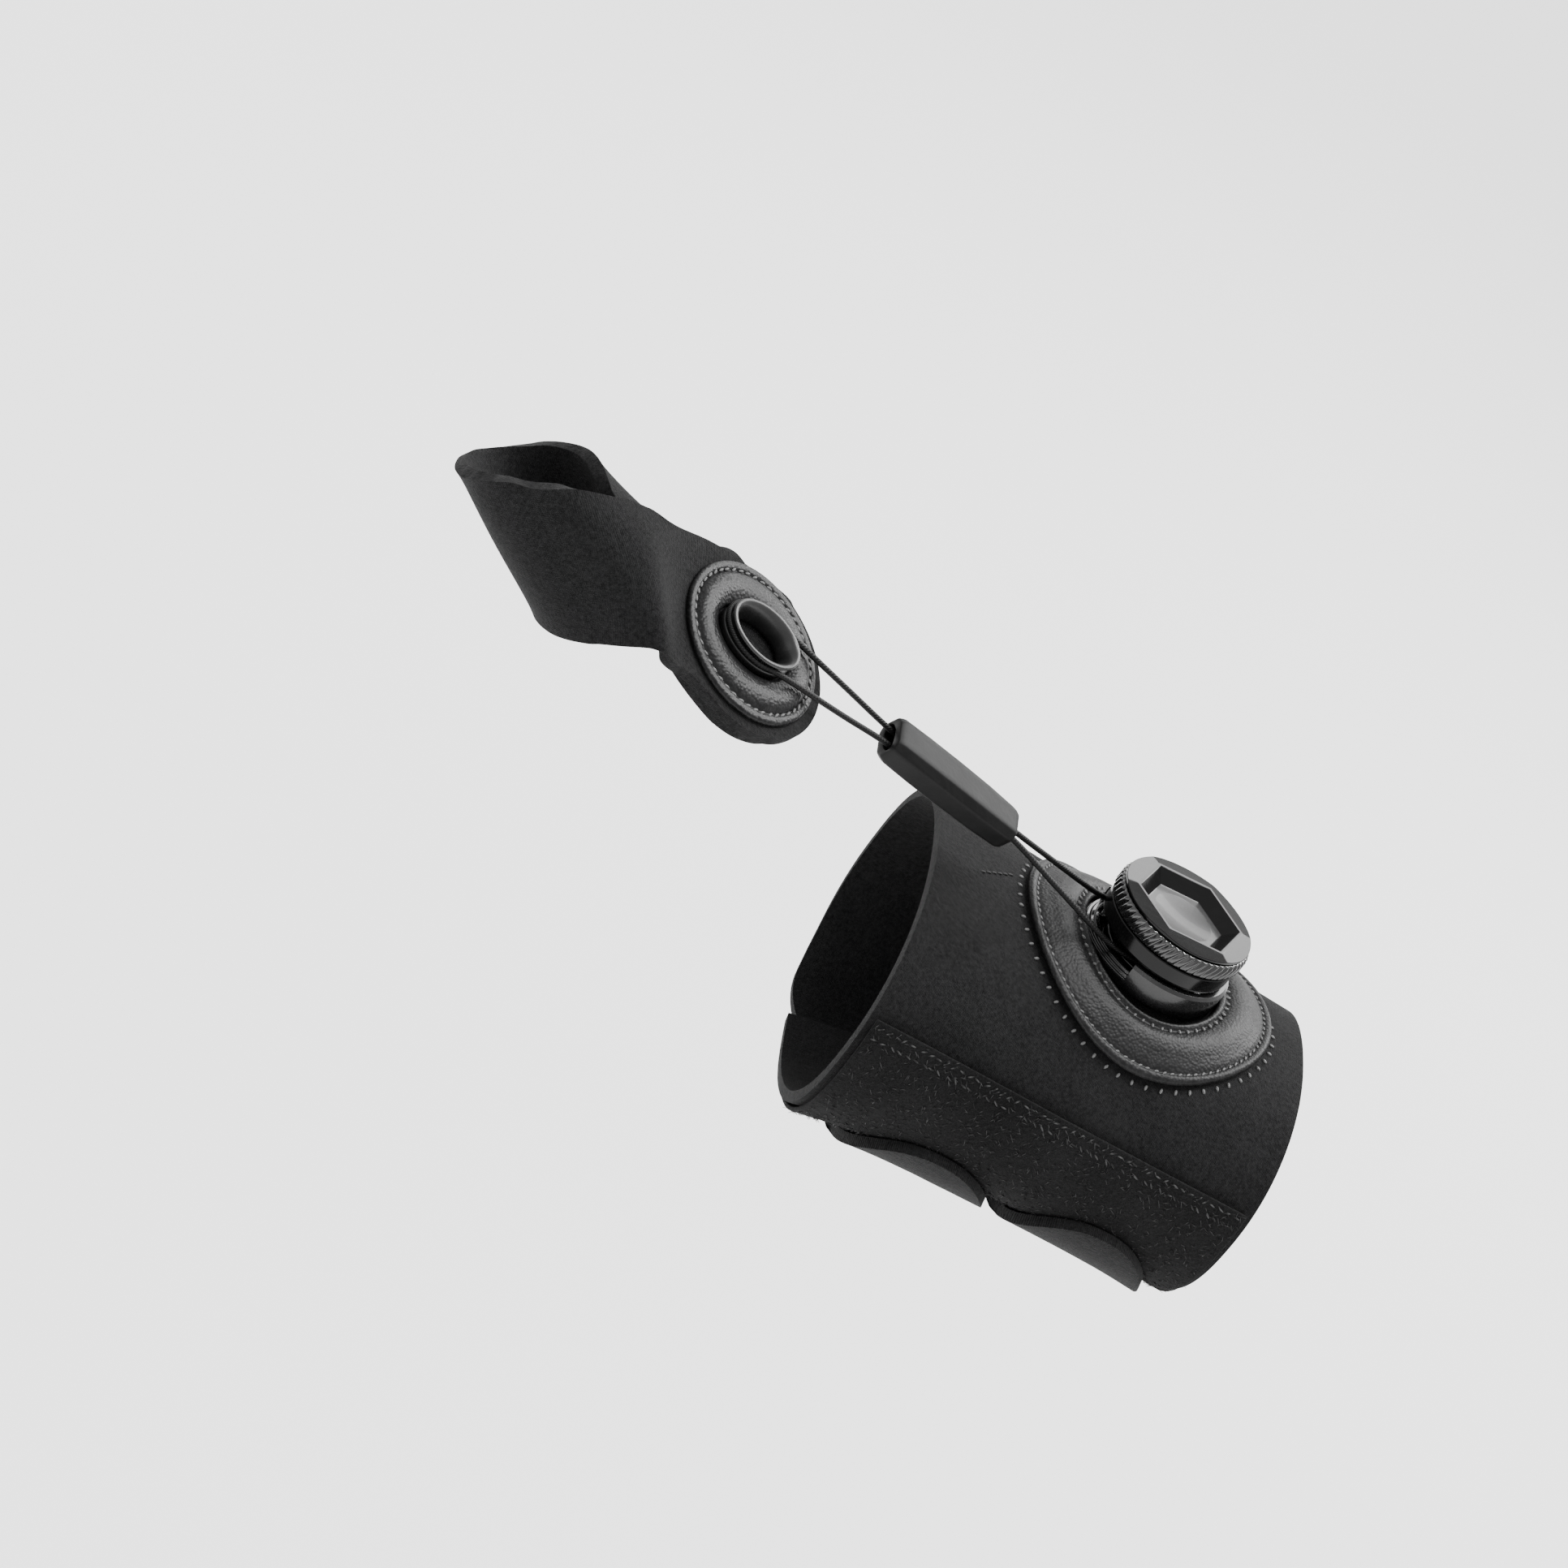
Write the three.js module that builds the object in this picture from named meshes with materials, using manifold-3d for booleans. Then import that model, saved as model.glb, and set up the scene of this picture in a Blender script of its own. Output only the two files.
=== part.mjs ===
/**
 * Trigger finger splint: a neoprene wrist cuff with a lace dial on its back, and an index finger
 * sling that the dial pulls toward the wrist through one loop of thin lace.
 *
 * Millimetres, +Z up. The origin is the centre of the wrist hollow. +X runs toward the elbow,
 * -X toward the fingers, +Z is the back of the hand and -Y the thumb side of a right hand.
 */
import * as THREE from 'three';
import { mergeVertices } from 'three/addons/utils/BufferGeometryUtils.js';
import Module from 'manifold-3d';

const wasm = await Module();
wasm.setup();

// Driving dimensions: cloth and gaps
const NEOPRENE = 2.0;
const LOOP_PILE = 1.0;
const LEATHER = 1.2;
const SEAM_GAP = 0.3;

// Driving dimensions: wrist cuff
const CUFF_LENGTH = 75;
const WRIST_HALF_WIDTH = 29;
const WRIST_HALF_HEIGHT = 22;
const LIMB_EXPONENT = 2.3;
const PANEL_INSET = 1.2;
const FLAP_MARGIN_FINGERS = 10.5;
const FLAP_MARGIN_ELBOW = 4.5;
const TAB_NOTCH = 1.2;

// Driving dimensions: dial patch
const DIAL_X = 5;
const PATCH_HALF_LENGTH = 25;
const PATCH_HALF_WIDTH = 21.6;

// Driving dimensions: dial
const FLANGE_RADIUS = 13.5;
const FLANGE_THICKNESS = 1.2;
const GUARD_WALL = 1.4;
const GUARD_HEIGHT = 3.4;
const GUARD_OPENING = 58;
const POST_RADIUS = 2.0;
const POST_HEIGHT = 6.0;
const RUNNING_GAP = 0.4;
const SPOOL_FLANGE_RADIUS = 9.5;
const SPOOL_CORE_RADIUS = 6.5;
const SPOOL_FLANGE = 0.6;
const SPOOL_GROOVE = 1.6;
const HUB_RADIUS = 4.5;
const HUB_HEIGHT = 3.8;
const KNOB_RADIUS = 12.5;
const SKIRT_HEIGHT = 3.4;
const GRIP_HEIGHT = 3.2;
const GRIP_RADIUS = 12.9;
const GRIP_WALL = 1.3;
const RIB_DEPTH = 0.45;
const RIB_COUNT = 60;
const CROWN_HEIGHT = 1.1;
const CROWN_RIM = 0.35;
const RECESS_RADIUS = 10.0;
const RECESS_FLOOR_RADIUS = 7.6;
const RECESS_DEPTH = 2.2;
const DISH_RADIUS = 5.6;
const DISH_DEPTH = 0.6;
const CROWN_PHASE = 7;

// Driving dimensions: finger sling
const SLING_REACH = 51;
const FINGER_HALF_WIDTH = 9.4;
const FINGER_HALF_HEIGHT = 8.5;
const HAND_RISE = 25;
const KNUCKLE = new THREE.Vector3(-88.3, -20.5, 46.9);
const PAD_RADIUS = 15.4;
const PAD_SETBACK = 0.8;
const PAD_STEP = 1.0;
const PAD_TILT = 15;
const PAD_DIP = 6;
const PAD_BEND = 11;
const DISC_RADIUS = 14;
const DISC_MARGIN = 1.0;
const DISC_DOME = 0.9;

// Driving dimensions: lace guide, lace and spacer
const LACE_DIAMETER = 1.0;
const GUIDE_HALF_LENGTH = 7.4;
const GUIDE_HALF_WIDTH = 5.4;
const GUIDE_WALL = 2.2;
const GUIDE_BASE = 1.9;
const GUIDE_LIP = 0.7;
const GROOVE_DEPTH = 1.1;
const SPACER_LENGTH = 29;
const SPACER_HALF_WIDTH = 3.9;
const SPACER_HALF_HEIGHT = 3.0;
const SPACER_BORE_HALF_WIDTH = 2.7;
const SPACER_BORE_HALF_HEIGHT = 1.3;
const SPACER_CHAMFER = 1.0;
const SPACER_PLACE = 0.453;

// Worked out from the driving dimensions
const OUTER_LAYER = NEOPRENE + LOOP_PILE + 2 * SEAM_GAP;
const PAD_LAYER = NEOPRENE + SEAM_GAP;
const GROOVE_WIDTH = LACE_DIAMETER + 2 * SEAM_GAP;

// Sections of the wrist hollow: place along the cuff as a share of CUFF_LENGTH, half width as
// a share of WRIST_HALF_WIDTH, and how far the back and palm sides lie from the middle, as
// shares of WRIST_HALF_HEIGHT.
const WRIST_SECTIONS = [
  { along: -0.5, width: 1.07, back: 1.1, palm: 1.08 },
  { along: -0.3, width: 1.03, back: 1.05, palm: 0.93 },
  { along: 0, width: 1, back: 1, palm: 0.88 },
  { along: 0.3, width: 0.97, back: 0.98, palm: 0.88 },
  { along: 0.5, width: 0.945, back: 0.965, palm: 0.95 },
];

// Sections of the finger and knuckle that the sling lies on. along is a share of SLING_REACH
// from the pad toward the fingertip; side (to the thumb), rise and width are shares of
// FINGER_HALF_WIDTH, and height of FINGER_HALF_HEIGHT. tilt turns the section to the thumb side.
const LIMB_SECTIONS = [
  { along: -0.38, side: -0.14, rise: -1.35, width: 2.5, height: 1.75, tilt: 12 },
  { along: 0.06, side: -0.14, rise: -1.35, width: 2.5, height: 1.75, tilt: 12 },
  { along: 0.3, side: 0.06, rise: -0.92, width: 1.5, height: 1.32, tilt: 9 },
  { along: 0.51, side: 0.24, rise: -0.87, width: 1.12, height: 1.1, tilt: 3 },
  { along: 0.76, side: 0.26, rise: -0.84, width: 0.98, height: 0.93, tilt: 0 },
  { along: 1.09, side: 0.26, rise: -0.64, width: 0.92, height: 0.76, tilt: 0 },
];

// The two long edges of the sling between its round ends: reach as a share of SLING_REACH and
// turn in degrees about the finger (90 its back, 180 its far side, 270 its palm side).
const SLING_ROWS = [
  { tipReach: 0.12, tipTurn: 57, wristReach: 0.05, wristTurn: 127 },
  { tipReach: 0.3, tipTurn: 64, wristReach: 0.13, wristTurn: 131 },
  { tipReach: 0.5, tipTurn: 74, wristReach: 0.21, wristTurn: 140 },
  { tipReach: 0.67, tipTurn: 86, wristReach: 0.29, wristTurn: 152 },
  { tipReach: 0.745, tipTurn: 112, wristReach: 0.37, wristTurn: 175 },
  { tipReach: 0.8, tipTurn: 150, wristReach: 0.42, wristTurn: 200 },
  { tipReach: 0.87, tipTurn: 190, wristReach: 0.45, wristTurn: 222 },
  { tipReach: 0.94, tipTurn: 230, wristReach: 0.475, wristTurn: 245 },
  { tipReach: 1, tipTurn: 270, wristReach: 0.49, wristTurn: 270 },
  { tipReach: 1, tipTurn: 312, wristReach: 0.47, wristTurn: 303 },
  { tipReach: 0.958, tipTurn: 351, wristReach: 0.43, wristTurn: 328 },
  { tipReach: 0.885, tipTurn: 377, wristReach: 0.395, wristTurn: 346 },
  { tipReach: 0.818, tipTurn: 402, wristReach: 0.351, wristTurn: 364 },
  { tipReach: 0.693, tipTurn: 429, wristReach: 0.277, wristTurn: 394 },
  { tipReach: 0.612, tipTurn: 445, wristReach: 0.216, wristTurn: 406 },
  { tipReach: 0.45, tipTurn: 463, wristReach: 0.147, wristTurn: 412 },
  { tipReach: 0.25, tipTurn: 477, wristReach: 0.07, wristTurn: 413 },
];

// The lace's route: from the far side of the spool through the spacer, round the guide's groove
// and back through the spacer to the near side of the spool.
const LACE_ROUTE = [
  [4.0, 7.3, 27.6],
  [-1.5, 6.7, 27.7],
  [-5.6, 5.3, 28.2],
  [-8.4, 3.8, 29.0],
  [-19.5, -2.1, 33.4],
  [-31.3, -8.2, 38.2],
  [-45.9, -11.4, 42.4],
  [-58.6, -14.2, 46.2],
  [-68.5, -15.5, 49.4],
  [-83.4, -17.2, 54.2],
  [-86.8, -17.5, 55.3],
  [-89.9, -18.7, 55.9],
  [-91.7, -20.4, 56.0],
  [-92.7, -22.3, 55.9],
  [-92.9, -24.1, 55.4],
  [-92.3, -25.7, 54.8],
  [-90.8, -26.9, 53.9],
  [-88.6, -27.6, 52.9],
  [-85.3, -27.4, 51.9],
  [-82.1, -26.0, 51.3],
  [-67.7, -20.6, 47.6],
  [-58.1, -17.0, 45.2],
  [-45.6, -13.6, 41.7],
  [-31.1, -9.7, 37.7],
  [-18.9, -8.9, 33.3],
  [-6.7, -8.1, 28.8],
  [-4.5, -7.9, 28.2],
  [-0.6, -7.7, 27.7],
  [5.5, -7.3, 27.6],
];

/** Smooth step from 0 to 1 as value goes from low to high. */
function ease(value, low, high) {
  const t = THREE.MathUtils.clamp((value - low) / (high - low), 0, 1);
  return t * t * (3 - 2 * t);
}

/** A column of a table, read at a place between its rows on a smooth curve. */
function column(rows, key, name, place) {
  let k = 0;
  while (k < rows.length - 2 && rows[k + 1][key] < place) k += 1;
  const at = (i) => rows[THREE.MathUtils.clamp(i, 0, rows.length - 1)];
  const span = at(k + 1)[key] - at(k)[key];
  const t = THREE.MathUtils.clamp((place - at(k)[key]) / span, 0, 1);
  const slope = (i) => {
    const reach = at(i + 1)[key] - at(i - 1)[key];
    return ((at(i + 1)[name] - at(i - 1)[name]) / reach) * span;
  };
  const [a, b] = [at(k)[name], at(k + 1)[name]];
  const [t2, t3] = [t * t, t * t * t];
  return (2 * t3 - 3 * t2 + 1) * a + (t3 - 2 * t2 + t) * slope(k)
    + (3 * t2 - 2 * t3) * b + (t3 - t2) * slope(k + 1);
}

/** Point of a flattened round section, as [across, up], at a turn in degrees. */
function sectionPoint(halfWidth, halfHeight, turn) {
  const angle = THREE.MathUtils.degToRad(turn);
  const bend = (value) => Math.sign(value) * Math.abs(value) ** (2 / LIMB_EXPONENT);
  return [halfWidth * bend(Math.cos(angle)), halfHeight * bend(Math.sin(angle))];
}

/** Point over the wrist: turn 0 is the thumb side, 90 the back, lift the height over the skin. */
function wristPoint(x, turn, lift) {
  const place = x / CUFF_LENGTH;
  const half = Math.sin(THREE.MathUtils.degToRad(turn)) < 0 ? 'palm' : 'back';
  const halfWidth = WRIST_HALF_WIDTH * column(WRIST_SECTIONS, 'along', 'width', place) + lift;
  const halfHeight = WRIST_HALF_HEIGHT * column(WRIST_SECTIONS, 'along', half, place) + lift;
  const [across, up] = sectionPoint(halfWidth, halfHeight, turn);
  return new THREE.Vector3(x, -across, up);
}

/** Turn on the back of the wrist that lies over a place y across it. */
function turnOver(x, y) {
  const place = x / CUFF_LENGTH;
  const halfWidth = WRIST_HALF_WIDTH * column(WRIST_SECTIONS, 'along', 'width', place);
  const bent = Math.abs(y / halfWidth) ** (LIMB_EXPONENT / 2);
  return THREE.MathUtils.radToDeg(Math.acos(-Math.sign(y) * bent));
}

const HAND_ANGLE = THREE.MathUtils.degToRad(HAND_RISE);
const TO_FINGERTIP = new THREE.Vector3(-Math.cos(HAND_ANGLE), 0, Math.sin(HAND_ANGLE));
const TO_THUMB = new THREE.Vector3(0, -1, 0);
const TO_BACK = new THREE.Vector3(Math.sin(HAND_ANGLE), 0, Math.cos(HAND_ANGLE));

/** Point over the finger and knuckle: reach toward the fingertip, turn about it, lift over it. */
function limbPoint(reach, turn, lift) {
  const place = reach / SLING_REACH;
  const read = (name) => column(LIMB_SECTIONS, 'along', name, place);
  const halfWidth = FINGER_HALF_WIDTH * read('width') + lift;
  const halfHeight = FINGER_HALF_HEIGHT * read('height') + lift;
  const [across, up] = sectionPoint(halfWidth, halfHeight, turn);
  const tilt = THREE.MathUtils.degToRad(read('tilt'));
  const side = across * Math.cos(tilt) + up * Math.sin(tilt) + FINGER_HALF_WIDTH * read('side');
  const rise = up * Math.cos(tilt) - across * Math.sin(tilt) + FINGER_HALF_WIDTH * read('rise');
  return KNUCKLE.clone()
    .addScaledVector(TO_FINGERTIP, reach)
    .addScaledVector(TO_THUMB, side)
    .addScaledVector(TO_BACK, rise);
}

// Pad where the sling's ends are stacked: its middle on the knuckle and its own level frame.
const PAD_TURN = 90;
const padTilt = THREE.MathUtils.degToRad(PAD_TILT);
const padDip = THREE.MathUtils.degToRad(PAD_DIP);
const PAD_NORMAL = TO_BACK.clone().multiplyScalar(Math.cos(padTilt))
  .addScaledVector(TO_THUMB, Math.sin(padTilt))
  .multiplyScalar(Math.cos(padDip))
  .addScaledVector(TO_FINGERTIP, Math.sin(padDip));
const PAD_ALONG = TO_FINGERTIP.clone().projectOnPlane(PAD_NORMAL).normalize();
const PAD_ACROSS = PAD_NORMAL.clone().cross(PAD_ALONG);
const PAD_ARC = FINGER_HALF_WIDTH * LIMB_SECTIONS[1].width;

/** Point of the pad's level frame: along to the fingertip, across to the thumb, lift off it. */
function padPoint(along, across, lift) {
  return KNUCKLE.clone()
    .addScaledVector(PAD_ALONG, along)
    .addScaledVector(PAD_ACROSS, across)
    .addScaledVector(PAD_NORMAL, lift);
}

/** Point of the sling: the limb's surface, made level near the stiff pad. */
function slingPoint(reach, turn, lift) {
  const fromPad = THREE.MathUtils.euclideanModulo(turn - PAD_TURN + 180, 360) - 180;
  const across = -THREE.MathUtils.degToRad(fromPad) * PAD_ARC;
  const bent = ease(Math.hypot(reach, across), PAD_RADIUS, PAD_RADIUS + PAD_BEND);
  return padPoint(reach, across, lift).lerp(limbPoint(reach, turn, lift), bent);
}

/** Geometry of a closed shell from its points and triangles, turned so its faces point out. */
function shell(points, triangles) {
  let volume = 0;
  for (const [a, b, c] of triangles) {
    volume += points[a].dot(points[b].clone().cross(points[c]));
  }
  const order = volume < 0 ? triangles.map(([a, b, c]) => [a, c, b]) : triangles;
  const geometry = new THREE.BufferGeometry().setFromPoints(points);
  geometry.setIndex(order.flat());
  return geometry;
}

/** Wall of cloth between two faces, place(row, column, face) with face 0 inside and 1 outside. */
function wall(rows, columns, place) {
  const points = [];
  for (const face of [0, 1]) {
    for (let i = 0; i <= rows; i += 1) {
      for (let j = 0; j <= columns; j += 1) points.push(place(i / rows, j / columns, face));
    }
  }
  const index = (i, j, face) => face * (rows + 1) * (columns + 1) + i * (columns + 1) + j;
  const triangles = [];
  const quad = (a, b, c, d) => triangles.push([a, b, c], [a, c, d]);
  for (let i = 0; i < rows; i += 1) {
    for (let j = 0; j < columns; j += 1) {
      quad(index(i, j, 1), index(i + 1, j, 1), index(i + 1, j + 1, 1), index(i, j + 1, 1));
      quad(index(i, j, 0), index(i, j + 1, 0), index(i + 1, j + 1, 0), index(i + 1, j, 0));
    }
  }
  for (let i = 0; i < rows; i += 1) {
    quad(index(i, 0, 0), index(i + 1, 0, 0), index(i + 1, 0, 1), index(i, 0, 1));
    quad(index(i, columns, 1), index(i + 1, columns, 1), index(i + 1, columns, 0), index(i, columns, 0));
  }
  for (let j = 0; j < columns; j += 1) {
    quad(index(0, j, 1), index(0, j + 1, 1), index(0, j + 1, 0), index(0, j, 0));
    quad(index(rows, j, 0), index(rows, j + 1, 0), index(rows, j + 1, 1), index(rows, j, 1));
  }
  return shell(points, triangles);
}

/** Ring whose closed profile of `sides` points is carried once round, place(side, angle). */
function ring(sides, steps, place) {
  const points = [];
  for (let k = 0; k < steps; k += 1) {
    for (let i = 0; i < sides; i += 1) points.push(place(i, (2 * Math.PI * k) / steps));
  }
  const triangles = [];
  for (let k = 0; k < steps; k += 1) {
    const next = (k + 1) % steps;
    for (let i = 0; i < sides; i += 1) {
      const [a, b] = [k * sides + i, k * sides + ((i + 1) % sides)];
      const [c, d] = [next * sides + ((i + 1) % sides), next * sides + i];
      triangles.push([a, b, c], [a, c, d]);
    }
  }
  return shell(points, triangles);
}

/** Solid of revolution about Z from a profile of [radius, height] that starts and ends on the axis. */
function turned(profile, steps) {
  const points = profile.map(([radius, height]) => new THREE.Vector2(radius, height));
  const geometry = new THREE.LatheGeometry(points, steps);
  geometry.rotateX(Math.PI / 2);
  return geometry;
}

/** Manifold of a closed geometry. */
function manifoldOf(geometry) {
  const bare = geometry.clone();
  bare.deleteAttribute('normal');
  bare.deleteAttribute('uv');
  const merged = mergeVertices(bare, 1e-4);
  return new wasm.Manifold(new wasm.Mesh({
    numProp: 3,
    vertProperties: merged.attributes.position.array,
    triVerts: new Uint32Array(merged.index.array),
  }));
}

/** Geometry of a manifold. */
function geometryOf(solid) {
  const mesh = solid.getMesh();
  const geometry = new THREE.BufferGeometry();
  geometry.setAttribute('position', new THREE.BufferAttribute(mesh.vertProperties, 3));
  geometry.setIndex(new THREE.BufferAttribute(mesh.triVerts, 1));
  return geometry;
}

/** Named mesh with its own material. */
function piece(name, geometry, color, roughness) {
  const material = new THREE.MeshStandardMaterial({ color, roughness, metalness: 0 });
  const mesh = new THREE.Mesh(geometry, material);
  mesh.name = name;
  return mesh;
}

const group = new THREE.Group();

// Wrist cuff
const WRAP_START = -100;
const FLAP_RISE_START = 215;
const FLAP_RISE_END = 256;
const FLAP_NARROW_START = 238;
const TAB_ROOT = 288;
const TAB_TIPS = [340, 345];
const TAB_COLUMNS = 12;
const WRAP_STEPS = 52;
const BAND_STEPS = 8;
const PANEL_STEPS = 16;
const PANEL_TURNS = [-94, 16];
const WRAP_END = Math.max(...TAB_TIPS) + 2;

/** Place along the cuff of a share across the wrap, which narrows toward the tabs. */
function wrapAlong(across, turn) {
  const narrow = ease(turn, FLAP_NARROW_START, TAB_ROOT);
  const low = -CUFF_LENGTH / 2 + FLAP_MARGIN_FINGERS * narrow;
  const high = CUFF_LENGTH / 2 - FLAP_MARGIN_ELBOW * narrow;
  return low + (high - low) * across;
}

/** Outline of the tabs: shares across the flap, and the turn that each tab reaches there. */
function tabOutline() {
  const notch = TAB_NOTCH / (CUFF_LENGTH - FLAP_MARGIN_FINGERS - FLAP_MARGIN_ELBOW);
  const half = 0.25;
  return TAB_TIPS.flatMap((tip, side) => {
    const middle = side === 0 ? half - notch / 2 : 1 - half + notch / 2;
    return Array.from({ length: TAB_COLUMNS + 1 }, (_, k) => {
      const [x, y] = sectionPoint(half, tip - TAB_ROOT, 180 * (1 - k / TAB_COLUMNS));
      return { across: middle + x, end: TAB_ROOT + Math.max(y, 0) };
    });
  });
}

/** Neoprene wrap: once round the wrist, over itself under the palm side, ending in two tabs. */
function wristWrap() {
  const band = wall(WRAP_STEPS, BAND_STEPS, (i, j, face) => {
    const turn = WRAP_START + (WRAP_END - WRAP_START) * i;
    const lift = OUTER_LAYER * ease(turn, FLAP_RISE_START, FLAP_RISE_END);
    return wristPoint(wrapAlong(j, turn), turn, lift + NEOPRENE * face);
  });
  const outline = tabOutline();
  const last = outline.length - 1;
  const beyondTabs = wall(BAND_STEPS, last, (i, j, face) => {
    const { across, end } = outline[Math.round(j * last)];
    const turn = end + (WRAP_END + 2 - end) * i;
    const lift = OUTER_LAYER - 2 * SEAM_GAP + (NEOPRENE + 4 * SEAM_GAP) * face;
    return wristPoint(wrapAlong(across, TAB_ROOT), turn, lift);
  });
  return geometryOf(manifoldOf(band).subtract(manifoldOf(beyondTabs)));
}

/** Loop panel on the wrap's outside, from the thumb side to under the tabs. */
function loopPanel() {
  const [bottom, top] = PANEL_TURNS;
  const half = CUFF_LENGTH / 2 - PANEL_INSET;
  return wall(PANEL_STEPS, BAND_STEPS, (i, j, face) => {
    const lift = NEOPRENE + SEAM_GAP + LOOP_PILE * face;
    return wristPoint(-half + 2 * half * j, bottom + (top - bottom) * i, lift);
  });
}

group.add(piece('wrist_wrap', wristWrap(), 0x262626, 0.95));
group.add(piece('loop_panel', loopPanel(), 0x1b1b1b, 1));

// Dial patch: a padded leather ring round the dial, level at its collar, following the cuff
// at its edge.
const CUFF_TOP = wristPoint(DIAL_X - FLANGE_RADIUS, 90, NEOPRENE).z;
const SEAT = CUFF_TOP + SEAM_GAP + FLANGE_THICKNESS;
const COLLAR_INNER = FLANGE_RADIUS + SEAM_GAP;

const PATCH_SEGMENTS = 42;

// Profile of the patch from its edge in: span 1 is the outer edge and 0 the collar's inner wall;
// puff is the padding's height over the leather's own thickness.
const PATCH_PROFILE = [
  { span: 1, puff: 0 },
  { span: 0.86, puff: 0.1 },
  { span: 0.68, puff: 0.65 },
  { span: 0.5, puff: 1.3 },
  { span: 0.34, puff: 1.5 },
  { span: 0.22, puff: 1.2 },
  { span: 0.13, puff: 0.8 },
  { span: 0, puff: 1.2 },
];

/** Padded leather patch with the dial's opening. */
function dialPatch() {
  const tops = PATCH_PROFILE.length;
  return ring(2 * tops, PATCH_SEGMENTS, (k, angle) => {
    const under = k >= tops;
    const { span, puff } = PATCH_PROFILE[under ? 2 * tops - 1 - k : k];
    const out = new THREE.Vector2(Math.cos(angle), Math.sin(angle));
    const edge = 1 / Math.hypot(out.x / PATCH_HALF_LENGTH, out.y / PATCH_HALF_WIDTH);
    const radius = COLLAR_INNER + (edge - COLLAR_INNER) * span;
    const [x, y] = [DIAL_X + radius * out.x, radius * out.y];
    const point = wristPoint(x, turnOver(x, y), NEOPRENE + SEAM_GAP + (under ? 0 : LEATHER));
    if (!under) point.z += puff;
    return point;
  });
}

group.add(piece('dial_patch', dialPatch(), 0x2e2e2e, 0.55));

// Dial, modelled with the flange's upper face at height 0.
const dial = new THREE.Group();
dial.position.set(DIAL_X, 0, SEAT);
group.add(dial);

const SPOOL_BOTTOM = RUNNING_GAP;
const SPOOL_TOP = SPOOL_BOTTOM + 2 * SPOOL_FLANGE + SPOOL_GROOVE;
const KNOB_BOTTOM = GUARD_HEIGHT + RUNNING_GAP;
const GRIP_BOTTOM = KNOB_BOTTOM + SKIRT_HEIGHT;
const GRIP_TOP = GRIP_BOTTOM + GRIP_HEIGHT;
const CROWN_TOP = GRIP_TOP + CROWN_HEIGHT;
const LACE_LEVEL = SPOOL_BOTTOM + SPOOL_FLANGE + SPOOL_GROOVE / 2;
const OPENING_TURN = 194;
const ROUND_SEGMENTS = 48;
const CAVITY_SEGMENTS = 36;
const SPOOL_SEGMENTS = 28;
const DISH_SEGMENTS = 24;
const TRIM_SEGMENTS = 12;

/** Six-sided cone frustum about Z, its corners turned to CROWN_PHASE. */
function hexFrustum(lowRadius, highRadius, low, high) {
  const geometry = new THREE.CylinderGeometry(highRadius, lowRadius, high - low, 6);
  geometry.rotateX(Math.PI / 2);
  geometry.rotateZ(THREE.MathUtils.degToRad(CROWN_PHASE + 90));
  geometry.translate(0, 0, (low + high) / 2);
  return manifoldOf(geometry);
}

/** Dial base: round flange, guard wall open toward the lace, and the post for the spool. */
function dialBase() {
  const guardInner = FLANGE_RADIUS - GUARD_WALL;
  const lip = 0.5;
  const body = manifoldOf(turned([
    [0, -FLANGE_THICKNESS], [FLANGE_RADIUS, -FLANGE_THICKNESS],
    [FLANGE_RADIUS, GUARD_HEIGHT - lip], [FLANGE_RADIUS - lip, GUARD_HEIGHT],
    [guardInner, GUARD_HEIGHT], [guardInner, 0],
    [POST_RADIUS, 0], [POST_RADIUS, POST_HEIGHT], [0, POST_HEIGHT],
  ], ROUND_SEGMENTS));
  const reach = 2 * FLANGE_RADIUS;
  const spread = THREE.MathUtils.degToRad(GUARD_OPENING);
  const wedge = new THREE.Shape();
  wedge.moveTo(POST_RADIUS + RUNNING_GAP, 0);
  wedge.lineTo(reach, -reach * Math.tan(spread));
  wedge.lineTo(reach, reach * Math.tan(spread));
  const cut = new THREE.ExtrudeGeometry(wedge, { depth: GUARD_HEIGHT + 1, bevelEnabled: false });
  cut.rotateZ(THREE.MathUtils.degToRad(OPENING_TURN));
  return geometryOf(body.subtract(manifoldOf(cut)));
}

/** Spool that winds the lace, with the hub that the knob slides on. */
function laceSpool() {
  const bore = POST_RADIUS + RUNNING_GAP;
  const profile = [
    [bore, SPOOL_BOTTOM], [SPOOL_FLANGE_RADIUS, SPOOL_BOTTOM],
    [SPOOL_FLANGE_RADIUS, SPOOL_BOTTOM + SPOOL_FLANGE], [SPOOL_CORE_RADIUS, SPOOL_BOTTOM + SPOOL_FLANGE],
    [SPOOL_CORE_RADIUS, SPOOL_TOP - SPOOL_FLANGE], [SPOOL_FLANGE_RADIUS, SPOOL_TOP - SPOOL_FLANGE],
    [SPOOL_FLANGE_RADIUS, SPOOL_TOP], [HUB_RADIUS, SPOOL_TOP],
    [HUB_RADIUS, SPOOL_TOP + HUB_HEIGHT], [bore, SPOOL_TOP + HUB_HEIGHT],
  ];
  return ring(profile.length, SPOOL_SEGMENTS, (k, angle) => {
    const [radius, height] = profile[k];
    return new THREE.Vector3(radius * Math.cos(angle), radius * Math.sin(angle), height);
  });
}

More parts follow.
